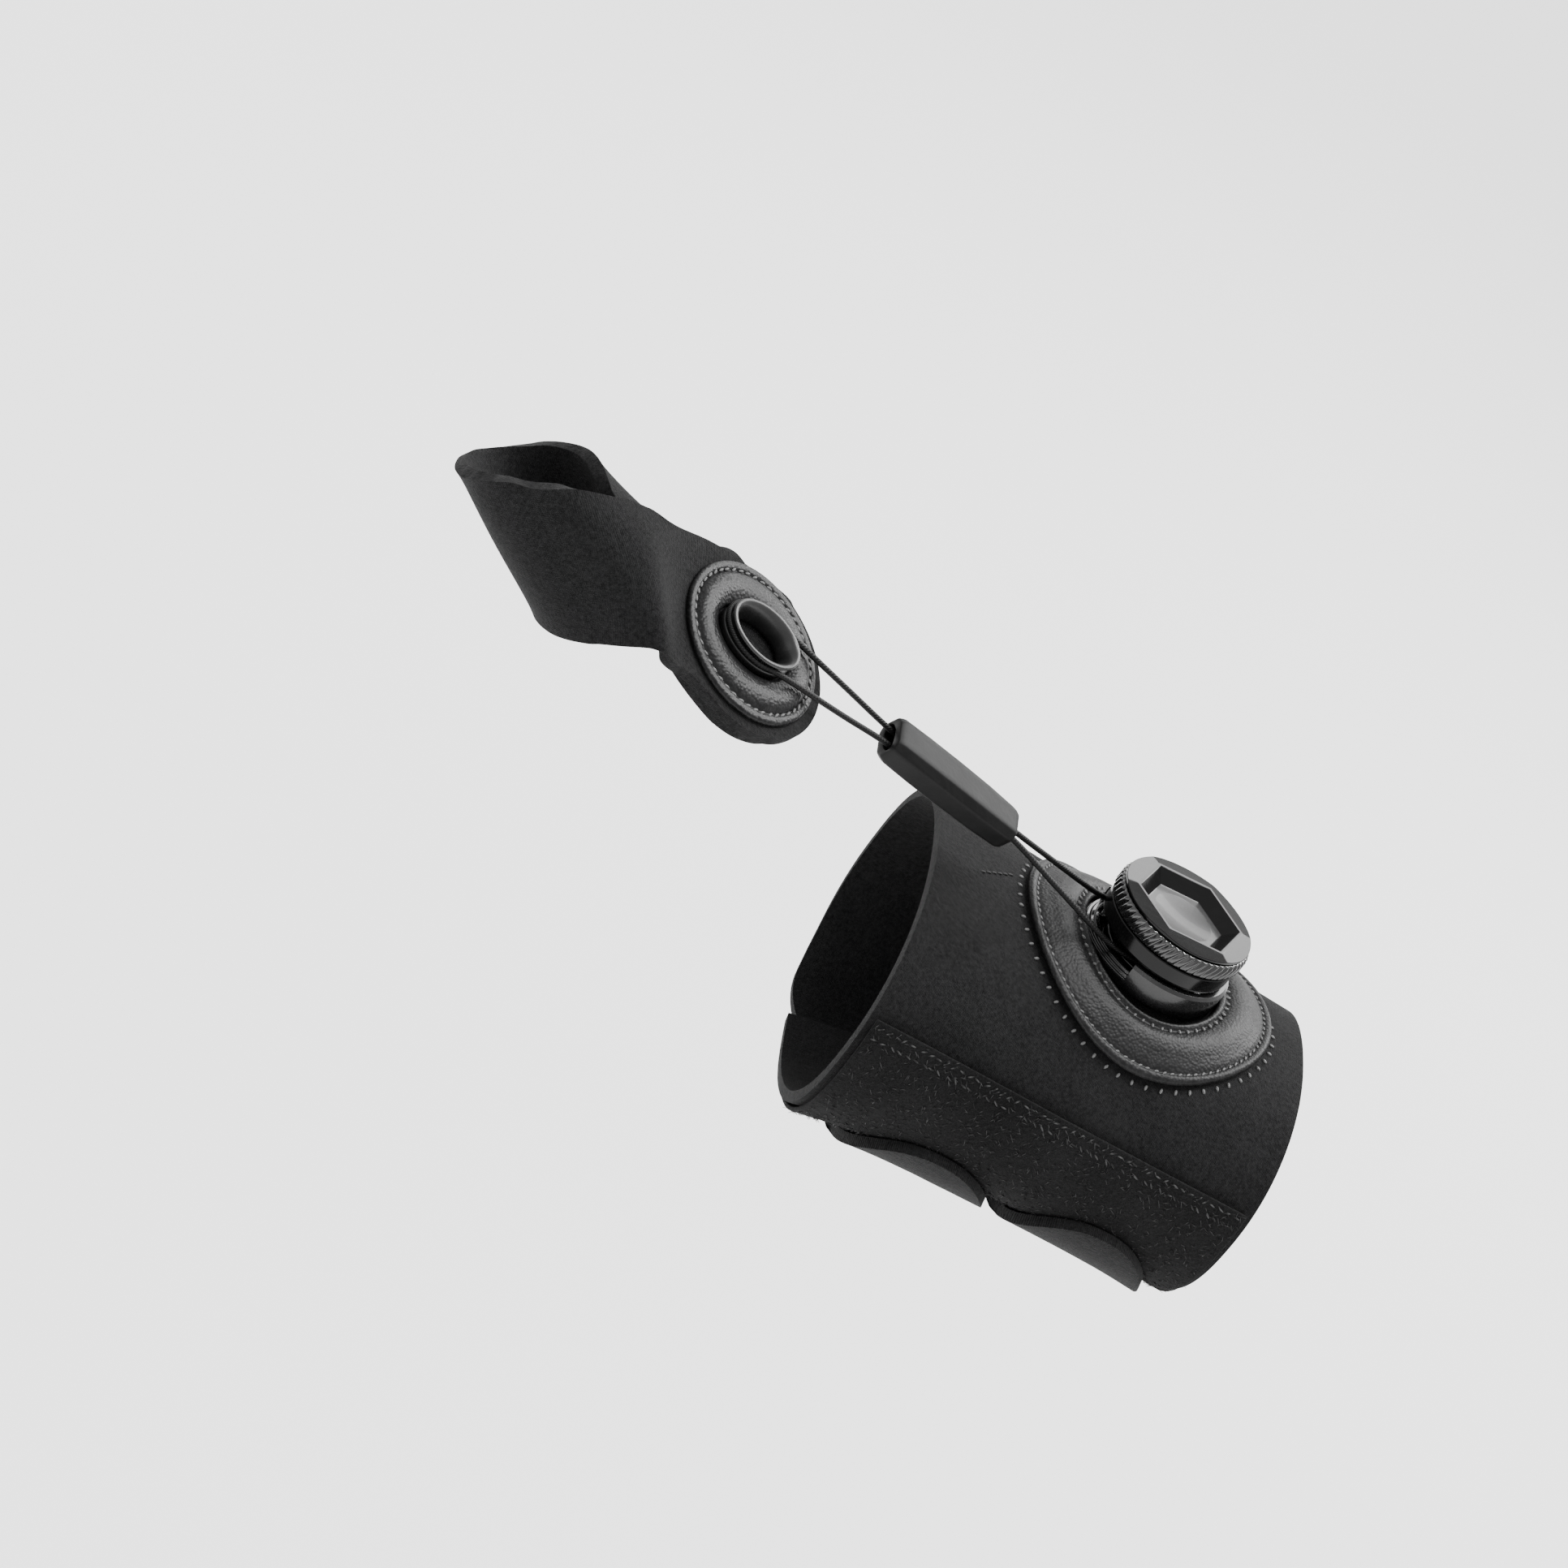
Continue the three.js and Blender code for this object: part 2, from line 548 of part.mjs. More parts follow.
/** Knob: skirt, neck for the grip, and a faceted crown with a six-sided recess. */
function dialKnob() {
  const neck = GRIP_RADIUS - GRIP_WALL - SEAM_GAP;
  const chamfer = 0.5;
  const edge = KNOB_RADIUS - chamfer / 2;
  const body = manifoldOf(turned([
    [0, KNOB_BOTTOM], [KNOB_RADIUS - chamfer, KNOB_BOTTOM], [KNOB_RADIUS, KNOB_BOTTOM + chamfer],
    [KNOB_RADIUS, GRIP_BOTTOM - SEAM_GAP], [neck, GRIP_BOTTOM - SEAM_GAP],
    [neck, GRIP_TOP + SEAM_GAP], [edge, GRIP_TOP + SEAM_GAP], [edge, CROWN_TOP], [0, CROWN_TOP],
  ], ROUND_SEGMENTS));
  const crownLow = GRIP_TOP + SEAM_GAP + CROWN_RIM;
  const outerLow = KNOB_RADIUS / Math.cos(Math.PI / 6);
  const above = manifoldOf(turned([
    [0, crownLow], [2 * KNOB_RADIUS, crownLow], [2 * KNOB_RADIUS, CROWN_TOP + 1], [0, CROWN_TOP + 1],
  ], TRIM_SEGMENTS));
  const facets = above.subtract(hexFrustum(outerLow, RECESS_RADIUS + CROWN_RIM, crownLow, CROWN_TOP));
  const floor = CROWN_TOP - RECESS_DEPTH;
  const recess = hexFrustum(RECESS_FLOOR_RADIUS, RECESS_RADIUS, floor, CROWN_TOP + 0.001);
  const dish = manifoldOf(turned([
    [0, floor - DISH_DEPTH], [DISH_RADIUS * 0.6, floor - DISH_DEPTH * 0.64],
    [DISH_RADIUS, floor], [DISH_RADIUS, floor + DISH_DEPTH], [0, floor + DISH_DEPTH],
  ], DISH_SEGMENTS));
  const cavityRadius = HUB_RADIUS + RUNNING_GAP;
  const cavity = manifoldOf(turned([
    [0, KNOB_BOTTOM - 1], [cavityRadius, KNOB_BOTTOM - 1],
    [cavityRadius, SPOOL_TOP + HUB_HEIGHT + RUNNING_GAP], [0, SPOOL_TOP + HUB_HEIGHT + RUNNING_GAP],
  ], CAVITY_SEGMENTS));
  return geometryOf(body.subtract(facets).subtract(recess).subtract(dish).subtract(cavity));
}

/** Grip ring with slanted ribs round the knob's neck. */
function knobGrip() {
  const inner = GRIP_RADIUS - GRIP_WALL;
  const slant = (2 * Math.PI) / RIB_COUNT;
  const shoulder = GRIP_RADIUS - RIB_DEPTH;
  return ring(6, 2 * RIB_COUNT, (k, angle) => {
    const rib = Math.round((angle * RIB_COUNT) / Math.PI) % 2 === 0 ? RIB_DEPTH : 0;
    const [radius, height] = [
      [inner, GRIP_BOTTOM], [shoulder, GRIP_BOTTOM], [shoulder + rib, GRIP_BOTTOM + RIB_DEPTH],
      [shoulder + rib, GRIP_TOP - RIB_DEPTH], [shoulder, GRIP_TOP], [inner, GRIP_TOP],
    ][k];
    const turn = angle + (slant * (height - GRIP_BOTTOM)) / GRIP_HEIGHT;
    return new THREE.Vector3(radius * Math.cos(turn), radius * Math.sin(turn), height);
  });
}

dial.add(piece('dial_base', dialBase(), 0x141414, 0.4));
dial.add(piece('lace_spool', laceSpool(), 0x1a1a1a, 0.5));
dial.add(piece('dial_knob', dialKnob(), 0x101010, 0.15));
dial.add(piece('knob_grip', knobGrip(), 0x161616, 0.3));

// Finger sling
const LIFT_TURNS = [366, 402];

/** Rows of the sling from round end to round end, each with the reach and turn of both edges. */
function slingRows() {
  const roundEnd = (radius, turn, side) => [72, 52, 33, 16, 0].map((degrees) => {
    const angle = THREE.MathUtils.degToRad(degrees);
    const reach = -PAD_SETBACK - radius * Math.sin(angle);
    const half = THREE.MathUtils.radToDeg((radius * Math.cos(angle)) / PAD_ARC);
    return [reach, turn - side * half, reach, turn + side * half];
  });
  const middle = SLING_ROWS.map((row) => [
    row.tipReach * SLING_REACH, row.tipTurn, row.wristReach * SLING_REACH, row.wristTurn,
  ]);
  const top = roundEnd(PAD_RADIUS, PAD_TURN + 360, -1).reverse();
  return [...roundEnd(PAD_RADIUS - PAD_STEP, PAD_TURN, 1), ...middle, ...top];
}

/** Neoprene sling: from under the pad round the finger's far side and palm side to the pad. */
function fingerStrap() {
  const rows = slingRows();
  const edge = (first) => new THREE.SplineCurve(
    rows.map((row) => new THREE.Vector2(row[first], row[first + 1])),
  );
  const [tipEdge, wristEdge] = [edge(0), edge(2)];
  return wall(2 * (rows.length - 1), BAND_STEPS, (i, j, face) => {
    const { x: reach, y: turn } = tipEdge.getPoint(i).lerp(wristEdge.getPoint(i), j);
    return slingPoint(reach, turn, PAD_LAYER * ease(turn, ...LIFT_TURNS) + NEOPRENE * face);
  });
}

group.add(piece('finger_strap', fingerStrap(), 0x242424, 0.95));

// Anchor patch and lace guide on the pad
const DISC_LIFT = PAD_LAYER + NEOPRENE + SEAM_GAP;
const GROOVE_LEVEL = GUIDE_BASE + GROOVE_WIDTH / 2;
const DISC_SEGMENTS = 36;
const GUIDE_SEGMENTS = 32;
const DRUM = new THREE.Vector3(DIAL_X, 0, SEAT + LACE_LEVEL);
const PULL = DRUM.clone().sub(padPoint(0, 0, DISC_LIFT + GROOVE_LEVEL)).normalize();

/** Frame of the guide: X along the lace's pull, Z off the pad. */
function guideFrame() {
  const along = PULL.clone().projectOnPlane(PAD_NORMAL).normalize();
  const across = PAD_NORMAL.clone().cross(along);
  return new THREE.Matrix4().makeBasis(along, across, PAD_NORMAL)
    .setPosition(padPoint(0, 0, DISC_LIFT));
}

// Profile of the padded disc: span 0 is the guide's opening and 1 the edge, rise over the pad.
const DISC_PROFILE = [
  { span: 1, rise: 0.8 * DISC_MARGIN },
  { span: 0.76, rise: DISC_MARGIN },
  { span: 0.6, rise: DISC_MARGIN + 0.8 * DISC_DOME },
  { span: 0.36, rise: DISC_MARGIN + DISC_DOME },
  { span: 0.12, rise: DISC_MARGIN + 0.8 * DISC_DOME },
  { span: 0, rise: DISC_MARGIN },
];

/** Padded leather disc that holds the guide. */
function anchorPatch() {
  const tops = DISC_PROFILE.length;
  const pull = Math.atan2(PULL.dot(PAD_ACROSS), PULL.dot(PAD_ALONG));
  const hole = [GUIDE_HALF_LENGTH + SEAM_GAP, GUIDE_HALF_WIDTH + SEAM_GAP];
  return ring(2 * tops, DISC_SEGMENTS, (k, angle) => {
    const under = k >= tops;
    const { span, rise } = DISC_PROFILE[under ? 2 * tops - 1 - k : k];
    const inner = 1 / Math.hypot(Math.cos(angle - pull) / hole[0], Math.sin(angle - pull) / hole[1]);
    const radius = inner + (DISC_RADIUS - inner) * span;
    const turn = PAD_TURN - THREE.MathUtils.radToDeg((radius * Math.sin(angle)) / PAD_ARC);
    return slingPoint(radius * Math.cos(angle), turn, DISC_LIFT + (under ? 0 : rise));
  });
}

/** Oval guide that the lace turns round, in a groove between its base and its lip. */
function laceGuide() {
  const grooveTop = GUIDE_BASE + GROOVE_WIDTH;
  const profile = [
    [0, 0], [1, 0], [1, GUIDE_BASE], [1 - GROOVE_DEPTH / GUIDE_WALL, GUIDE_BASE],
    [1 - GROOVE_DEPTH / GUIDE_WALL, grooveTop], [1, grooveTop], [0.8, grooveTop + GUIDE_LIP],
    [0.2, grooveTop + GUIDE_LIP], [0, grooveTop],
  ];
  const geometry = ring(profile.length, GUIDE_SEGMENTS, (k, angle) => {
    const inset = GUIDE_WALL * (1 - profile[k][0]);
    return new THREE.Vector3(
      (GUIDE_HALF_LENGTH - inset) * Math.cos(angle),
      (GUIDE_HALF_WIDTH - inset) * Math.sin(angle),
      profile[k][1],
    );
  });
  return geometry.applyMatrix4(guideFrame());
}

group.add(piece('anchor_patch', anchorPatch(), 0x2e2e2e, 0.5));
group.add(piece('lace_guide', laceGuide(), 0x0e0e0e, 0.12));

// Lace and its spacer
const LACE_STEPS = 72;
const LACE_SIDES = 8;
const SPACER_SEGMENTS = 16;

/** Lace: a round tube along its route. */
function lace() {
  const points = LACE_ROUTE.map((point) => new THREE.Vector3(...point));
  const route = new THREE.CatmullRomCurve3(points, false, 'centripetal');
  const outline = new THREE.Shape().absarc(0, 0, LACE_DIAMETER / 2, 0, 2 * Math.PI);
  return new THREE.ExtrudeGeometry(outline, {
    steps: LACE_STEPS, curveSegments: LACE_SIDES / 2, extrudePath: route,
  });
}

/** Spacer: a chamfered tube on the line from the guide to the spool, round both strands. */
function laceSpacer() {
  const end = SPACER_LENGTH / 2;
  const bore = [SPACER_BORE_HALF_WIDTH, SPACER_BORE_HALF_HEIGHT];
  const outer = [SPACER_HALF_WIDTH, SPACER_HALF_HEIGHT];
  const throat = outer.map((half) => half - SPACER_CHAMFER);
  const profile = [
    [-end, bore], [-end, throat], [SPACER_CHAMFER - end, outer], [end - SPACER_CHAMFER, outer],
    [end, throat], [end, bore],
  ];
  const geometry = ring(profile.length, SPACER_SEGMENTS, (k, angle) => {
    const [along, [halfWidth, halfHeight]] = profile[k];
    const [across, up] = sectionPoint(halfWidth, halfHeight, THREE.MathUtils.radToDeg(angle));
    return new THREE.Vector3(along, across, up);
  });
  const across = PAD_NORMAL.clone().cross(PULL).normalize();
  const up = PULL.clone().cross(across);
  const middle = padPoint(0, 0, DISC_LIFT + GROOVE_LEVEL).lerp(DRUM, SPACER_PLACE);
  return geometry.applyMatrix4(new THREE.Matrix4().makeBasis(PULL, across, up).setPosition(middle));
}

group.add(piece('lace', lace(), 0x141414, 0.6));
group.add(piece('lace_spacer', laceSpacer(), 0x151515, 0.35));

export default group;
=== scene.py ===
"""Dresses the trigger finger splint: black neoprene, leatherette, glossy dial and thin lace.

Sizes are in millimetres until a piece's mesh is placed, and metres in Blender. The frame is the
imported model's: +X along the cuff away from the sling, +Z out of the side that the dial is on,
-Y to the side of the loop panel.
"""
import logging
import math
import random
from collections.abc import Callable, Sequence
from dataclasses import dataclass, field
from enum import Enum

import bmesh
import bpy
from mathutils import Matrix, Vector, noise


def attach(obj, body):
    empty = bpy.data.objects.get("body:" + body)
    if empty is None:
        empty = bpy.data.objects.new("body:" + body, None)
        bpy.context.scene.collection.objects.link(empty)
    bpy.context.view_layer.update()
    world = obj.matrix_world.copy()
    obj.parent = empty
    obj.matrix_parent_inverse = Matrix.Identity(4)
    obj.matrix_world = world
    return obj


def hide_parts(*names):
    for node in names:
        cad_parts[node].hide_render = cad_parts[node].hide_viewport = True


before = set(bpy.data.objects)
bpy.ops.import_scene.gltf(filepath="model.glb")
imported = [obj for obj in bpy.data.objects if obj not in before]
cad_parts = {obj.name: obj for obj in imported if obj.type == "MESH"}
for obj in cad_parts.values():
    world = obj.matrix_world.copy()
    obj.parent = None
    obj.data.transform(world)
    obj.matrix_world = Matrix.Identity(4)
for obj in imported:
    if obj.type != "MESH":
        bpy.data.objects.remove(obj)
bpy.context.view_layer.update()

MM = 0.001
NEOPRENE = 2.0
SEAM_GAP = 0.3
LOOP_PILE = 1.0
LEATHER = 1.2

log = logging.getLogger("splint")

Place = Callable[[float, float], Vector]
Turned = Callable[[float, int], Vector]
Spot = tuple[Vector, Vector]
Stitch = tuple[Vector, Vector, Vector]


class Body(Enum):
    """Bodies of the frame that pieces ride on."""

    BRACE = "brace"
    SPOOL = "spool"
    KNOB = "knob"


def ease(value: float, low: float, high: float) -> float:
    """Smooth step from 0 at low to 1 at high."""
    t = min(max((value - low) / (high - low), 0.0), 1.0)
    return t * t * (3 - 2 * t)


def power(value: float, exponent: float) -> float:
    """Power of a value that keeps its sign."""
    return math.copysign(abs(value) ** exponent, value)


def column(rows: Sequence[Sequence[float]], name: int, place: float) -> float:
    """Reads a column of a table on a smooth curve.

    Args:
        rows: the table, each row starting with its place.
        name: index of the column to read.
        place: where to read it.

    Returns:
        The column's value at that place.
    """
    last = len(rows) - 1
    k = 0
    while k < last - 1 and rows[k + 1][0] < place:
        k += 1
    span = rows[k + 1][0] - rows[k][0]
    t = min(max((place - rows[k][0]) / span, 0.0), 1.0)

    def slope(i: int) -> float:
        """Slope of the curve at row i, over this step."""
        before, after = rows[max(i - 1, 0)], rows[min(i + 1, last)]
        return (after[name] - before[name]) / (after[0] - before[0]) * span

    t2, t3 = t * t, t * t * t
    return (
        (2 * t3 - 3 * t2 + 1) * rows[k][name]
        + (t3 - 2 * t2 + t) * slope(k)
        + (3 * t2 - 2 * t3) * rows[k + 1][name]
        + (t3 - t2) * slope(k + 1)
    )


def spline(points: Sequence[Sequence[float]], t: float) -> list[float]:
    """Reads an even Catmull-Rom curve.

    Args:
        points: the points that it passes through.
        t: place on the curve from 0 to 1.

    Returns:
        The point there.
    """
    last = len(points) - 1
    at = min(t * last, last - 1e-9)
    k = int(at)
    w = at - k
    p0, p1, p2, p3 = (points[min(max(k + d, 0), last)] for d in (-1, 0, 1, 2))
    return [
        0.5 * (2 * b + (c - a) * w + (2 * a - 5 * b + 4 * c - d) * w * w
               + (3 * b - a - 3 * c + d) * w ** 3)
        for a, b, c, d in zip(p0, p1, p2, p3)
    ]


@dataclass(frozen=True)
class WristForm:
    """The cuff's hollow."""

    length: float = 75.0
    half_width: float = 29.0
    half_height: float = 22.0
    exponent: float = 2.3
    # place along the cuff, half width, back and palm heights, as shares
    sections: tuple[tuple[float, ...], ...] = (
        (-0.5, 1.07, 1.1, 1.08),
        (-0.3, 1.03, 1.05, 0.93),
        (0.0, 1.0, 1.0, 0.88),
        (0.3, 0.97, 0.98, 0.88),
        (0.5, 0.945, 0.965, 0.95),
    )

    def point(self, x: float, turn: float, lift: float) -> Vector:
        """Point over the cuff's hollow.

        Args:
            x: place along the cuff.
            turn: angle round the hollow, 0 at the loop panel's side and 90 at the dial.
            lift: height over the hollow.

        Returns:
            The point.
        """
        angle = math.radians(turn)
        half = 3 if math.sin(angle) < 0 else 2
        width = self.half_width * column(self.sections, 1, x / self.length) + lift
        height = self.half_height * column(self.sections, half, x / self.length) + lift
        bend = 2 / self.exponent
        return Vector((x, -width * power(math.cos(angle), bend),
                       height * power(math.sin(angle), bend)))

    def spot(self, x: float, turn: float, lift: float) -> Spot:
        """Point over the hollow with the outward direction there."""
        low, high = (self.point(x, turn, lift + rise) for rise in (0.0, 1.0))
        return low, high - low

    def turn_over(self, x: float, y: float) -> float:
        """Turn on the dial's side over a place y across the cuff."""
        width = self.half_width * column(self.sections, 1, x / self.length)
        return math.degrees(math.acos(-power(y / width, self.exponent / 2)))


@dataclass(frozen=True)
class LimbForm:
    """The sling's hollow, and the level frame of its pad."""

    reach: float = 51.0
    half_width: float = 9.4
    half_height: float = 8.5
    exponent: float = 2.3
    hand_rise: float = 25.0
    knuckle: tuple[float, float, float] = (-88.3, -20.5, 46.9)
    pad_tilt: float = 15.0
    pad_dip: float = 6.0
    pad_radius: float = 15.4
    pad_bend: float = 11.0
    pad_turn: float = 90.0
    # place from the pad toward the tip end, side, rise, width, height, tilt
    sections: tuple[tuple[float, ...], ...] = (
        (-0.38, -0.14, -1.35, 2.5, 1.75, 12),
        (0.06, -0.14, -1.35, 2.5, 1.75, 12),
        (0.3, 0.06, -0.92, 1.5, 1.32, 9),
        (0.51, 0.24, -0.87, 1.12, 1.1, 3),
        (0.76, 0.26, -0.84, 0.98, 0.93, 0),
        (1.09, 0.26, -0.64, 0.92, 0.76, 0),
    )

    @property
    def to_tip(self) -> Vector:
        """Direction from the pad along the sling."""
        angle = math.radians(self.hand_rise)
        return Vector((-math.cos(angle), 0, math.sin(angle)))

    @property
    def to_back(self) -> Vector:
        """Direction out of the sling's upper side."""
        angle = math.radians(self.hand_rise)
        return Vector((math.sin(angle), 0, math.cos(angle)))

    @property
    def pad_arc(self) -> float:
        """Length across the pad for one radian of turn."""
        return self.half_width * self.sections[1][3]

    @property
    def pad_axes(self) -> tuple[Vector, Vector, Vector]:
        """The pad's own directions.

        Returns:
            Unit vectors along the sling, across it and off the pad.
        """
        tilt, dip = math.radians(self.pad_tilt), math.radians(self.pad_dip)
        up = self.to_back * math.cos(tilt) + Vector((0, -1, 0)) * math.sin(tilt)
        normal = up * math.cos(dip) + self.to_tip * math.sin(dip)
        along = (self.to_tip - normal * self.to_tip.dot(normal)).normalized()
        return along, normal.cross(along), normal

    def limb_point(self, reach: float, turn: float, lift: float) -> Vector:
        """Point over the sling's hollow.

        Args:
            reach: place from the pad's middle toward the tip end.
            turn: angle round the hollow.
            lift: height over the hollow.

        Returns:
            The point.
        """
        side, rise, width, height, tilt = (
            column(self.sections, k, reach / self.reach) for k in range(1, 6)
        )
        angle, bend, lean = math.radians(turn), 2 / self.exponent, math.radians(tilt)
        across = (self.half_width * width + lift) * power(math.cos(angle), bend)
        up = (self.half_height * height + lift) * power(math.sin(angle), bend)
        out = across * math.cos(lean) + up * math.sin(lean) + self.half_width * side
        over = up * math.cos(lean) - across * math.sin(lean) + self.half_width * rise
        middle = Vector(self.knuckle) + self.to_tip * reach
        return middle + Vector((0, -1, 0)) * out + self.to_back * over

    def pad_point(self, along: float, across: float, lift: float) -> Vector:
        """Point of the pad's level frame."""
        a, c, n = self.pad_axes
        return Vector(self.knuckle) + a * along + c * across + n * lift

    def point(self, reach: float, turn: float, lift: float) -> Vector:
        """Point of the sling: over its hollow, and level near the pad.

        Args:
            reach: place from the pad's middle toward the tip end.
            turn: angle round the hollow, which counts on past 360 in the over layer.
            lift: height over the hollow.

        Returns:
            The point.
        """
        off = (turn - self.pad_turn + 180) % 360 - 180
        across = -math.radians(off) * self.pad_arc
        bent = ease(math.hypot(reach, across), self.pad_radius, self.pad_radius + self.pad_bend)
        if bent <= 0:
            return self.pad_point(reach, across, lift)
        return self.pad_point(reach, across, lift).lerp(self.limb_point(reach, turn, lift), bent)


WRIST = WristForm()
LIMB = LimbForm()


class Weaver:
    """Makes meshes for the pieces from bent grids and repeated small shapes."""

    @staticmethod
    def keep(name: str, mesh: bmesh.types.BMesh) -> bpy.types.Object:
        """Turns a bmesh, in metres, into a named, smooth object at the origin.

        Args:
            name: the object's name.
            mesh: the finished bmesh, which is freed.

        Returns:
            The linked object.
        """
        data = bpy.data.meshes.new(name)
        mesh.to_mesh(data)
        mesh.free()
        for polygon in data.polygons:
            polygon.use_smooth = True
        piece = bpy.data.objects.new(name, data)
        bpy.context.scene.collection.objects.link(piece)
        return piece

    @staticmethod
    def bend(along: int, across: int, place: Place, size: tuple[float, float]) -> bmesh.types.BMesh:
        """Bends a flat grid over a surface, with a UV map in millimetres.

        Args:
            along: faces along the first direction.
            across: faces along the second direction.
            place: gives the point, in millimetres, for both shares from 0 to 1.
            size: rough length of both directions in millimetres, for the UV map.

        Returns:
            The bent grid in metres.
        """
        mesh = bmesh.new()
        bmesh.ops.create_grid(mesh, x_segments=along, y_segments=across, size=0.5)
        uv = mesh.loops.layers.uv.new("cloth")
        for face in mesh.faces:
            for loop in face.loops:
                co = loop.vert.co
                loop[uv].uv = ((co.x + 0.5) * size[0], (co.y + 0.5) * size[1])
        for vert in mesh.verts:
            vert.co = place(vert.co.x + 0.5, vert.co.y + 0.5) * MM
        return mesh

    @staticmethod
    def close(mesh: bmesh.types.BMesh, near: float = 1e-6) -> bmesh.types.BMesh:
        """Joins a bent grid's meeting edges, fills what stays open, and turns its faces out.

        Args:
            mesh: the bent grid.
            near: distance in metres within which points are joined.

        Returns:
            The same mesh.
        """
        bmesh.ops.remove_doubles(mesh, verts=mesh.verts, dist=near)
        open_edges = [edge for edge in mesh.edges if edge.is_boundary]
        if open_edges:
            bmesh.ops.holes_fill(mesh, edges=open_edges, sides=0)
        bmesh.ops.recalc_face_normals(mesh, faces=mesh.faces)
        return mesh

    @classmethod
    def ring(cls, name: str, steps: int, rows: int, place: Turned,
             size: tuple[float, float]) -> bpy.types.Object:
        """Makes a closed ring from a closed profile.

        Args:
            name: the object's name.
            steps: faces round the ring.
            rows: faces along the profile.
            place: gives the point, in millimetres, for an angle and a row of the profile.
            size: rough length round and along the profile, for the UV map.

        Returns:
            The linked object.
        """
        def bent(u: float, v: float) -> Vector:
            """Point for both shares, whose ends meet."""
            return place(2 * math.pi * (u % 1.0), round(v % 1.0 * rows) % rows)

        return cls.keep(name, cls.close(cls.bend(steps, rows, bent, size)))

    @staticmethod
    def stitches(name: str, spots: Sequence[Stitch], length: float,
                 thick: float) -> bpy.types.Object:
        """Row of sewn stitches.

        Args:
            name: the object's name.
            spots: each stitch's middle, direction and outward normal, in millimetres.
            length: a stitch's length in millimetres.
            thick: the thread's thickness in millimetres.

        Returns:
            One object that holds every stitch.
        """
        mesh = bmesh.new()
        for middle, direction, normal in spots:
            forward = direction.normalized()
            out = (normal - forward * normal.dot(forward)).normalized()
            basis = Matrix((forward, out.cross(forward), out)).transposed().to_4x4()
            basis.translation = middle * MM
            size = Matrix.Diagonal((length * MM / 2, thick * MM / 2, thick * MM / 2, 1))
            bmesh.ops.create_uvsphere(
                mesh, u_segments=8, v_segments=6, radius=1.0, matrix=basis @ size
            )
        return Weaver.keep(name, mesh)


def spaced(place: Callable[[float], Spot], pitch: float, slant: float) -> list[Stitch]:
    """Nearly even places on a closed curve for hand-fed stitches.

    Args:
        place: gives the point and the outward normal for a share from 0 to 1.
        pitch: distance from stitch to stitch in millimetres.
        slant: angle in degrees between a stitch and the curve.

    Returns:
        Each stitch's middle, direction and normal.
    """
    chance, sway, drift = random.Random(11), 14, 0.12
    steps = 400
    fine = [place(k / steps) for k in range(steps + 1)]
    run = [0.0]
    for (a, _), (b, _) in zip(fine, fine[1:]):
        run.append(run[-1] + (b - a).length)
    count = max(2, round(run[-1] / pitch))
    spots = []
    k = 0
    for i in range(count):
        at = run[-1] * i / count
        while k < steps - 1 and run[k + 1] < at:
            k += 1
        w = (at - run[k]) / max(run[k + 1] - run[k], 1e-9)
        forward, normal = (fine[k + 1][0] - fine[k][0]).normalized(), fine[k][1].normalized()
        lean = math.radians(slant + chance.uniform(-sway, sway))
        direction = forward * math.cos(lean) + normal.cross(forward) * math.sin(lean)
        middle = fine[k][0].lerp(fine[k + 1][0], w) + forward * chance.uniform(-drift, drift)
        spots.append((middle, direction, normal))
    return spots


# Finishes


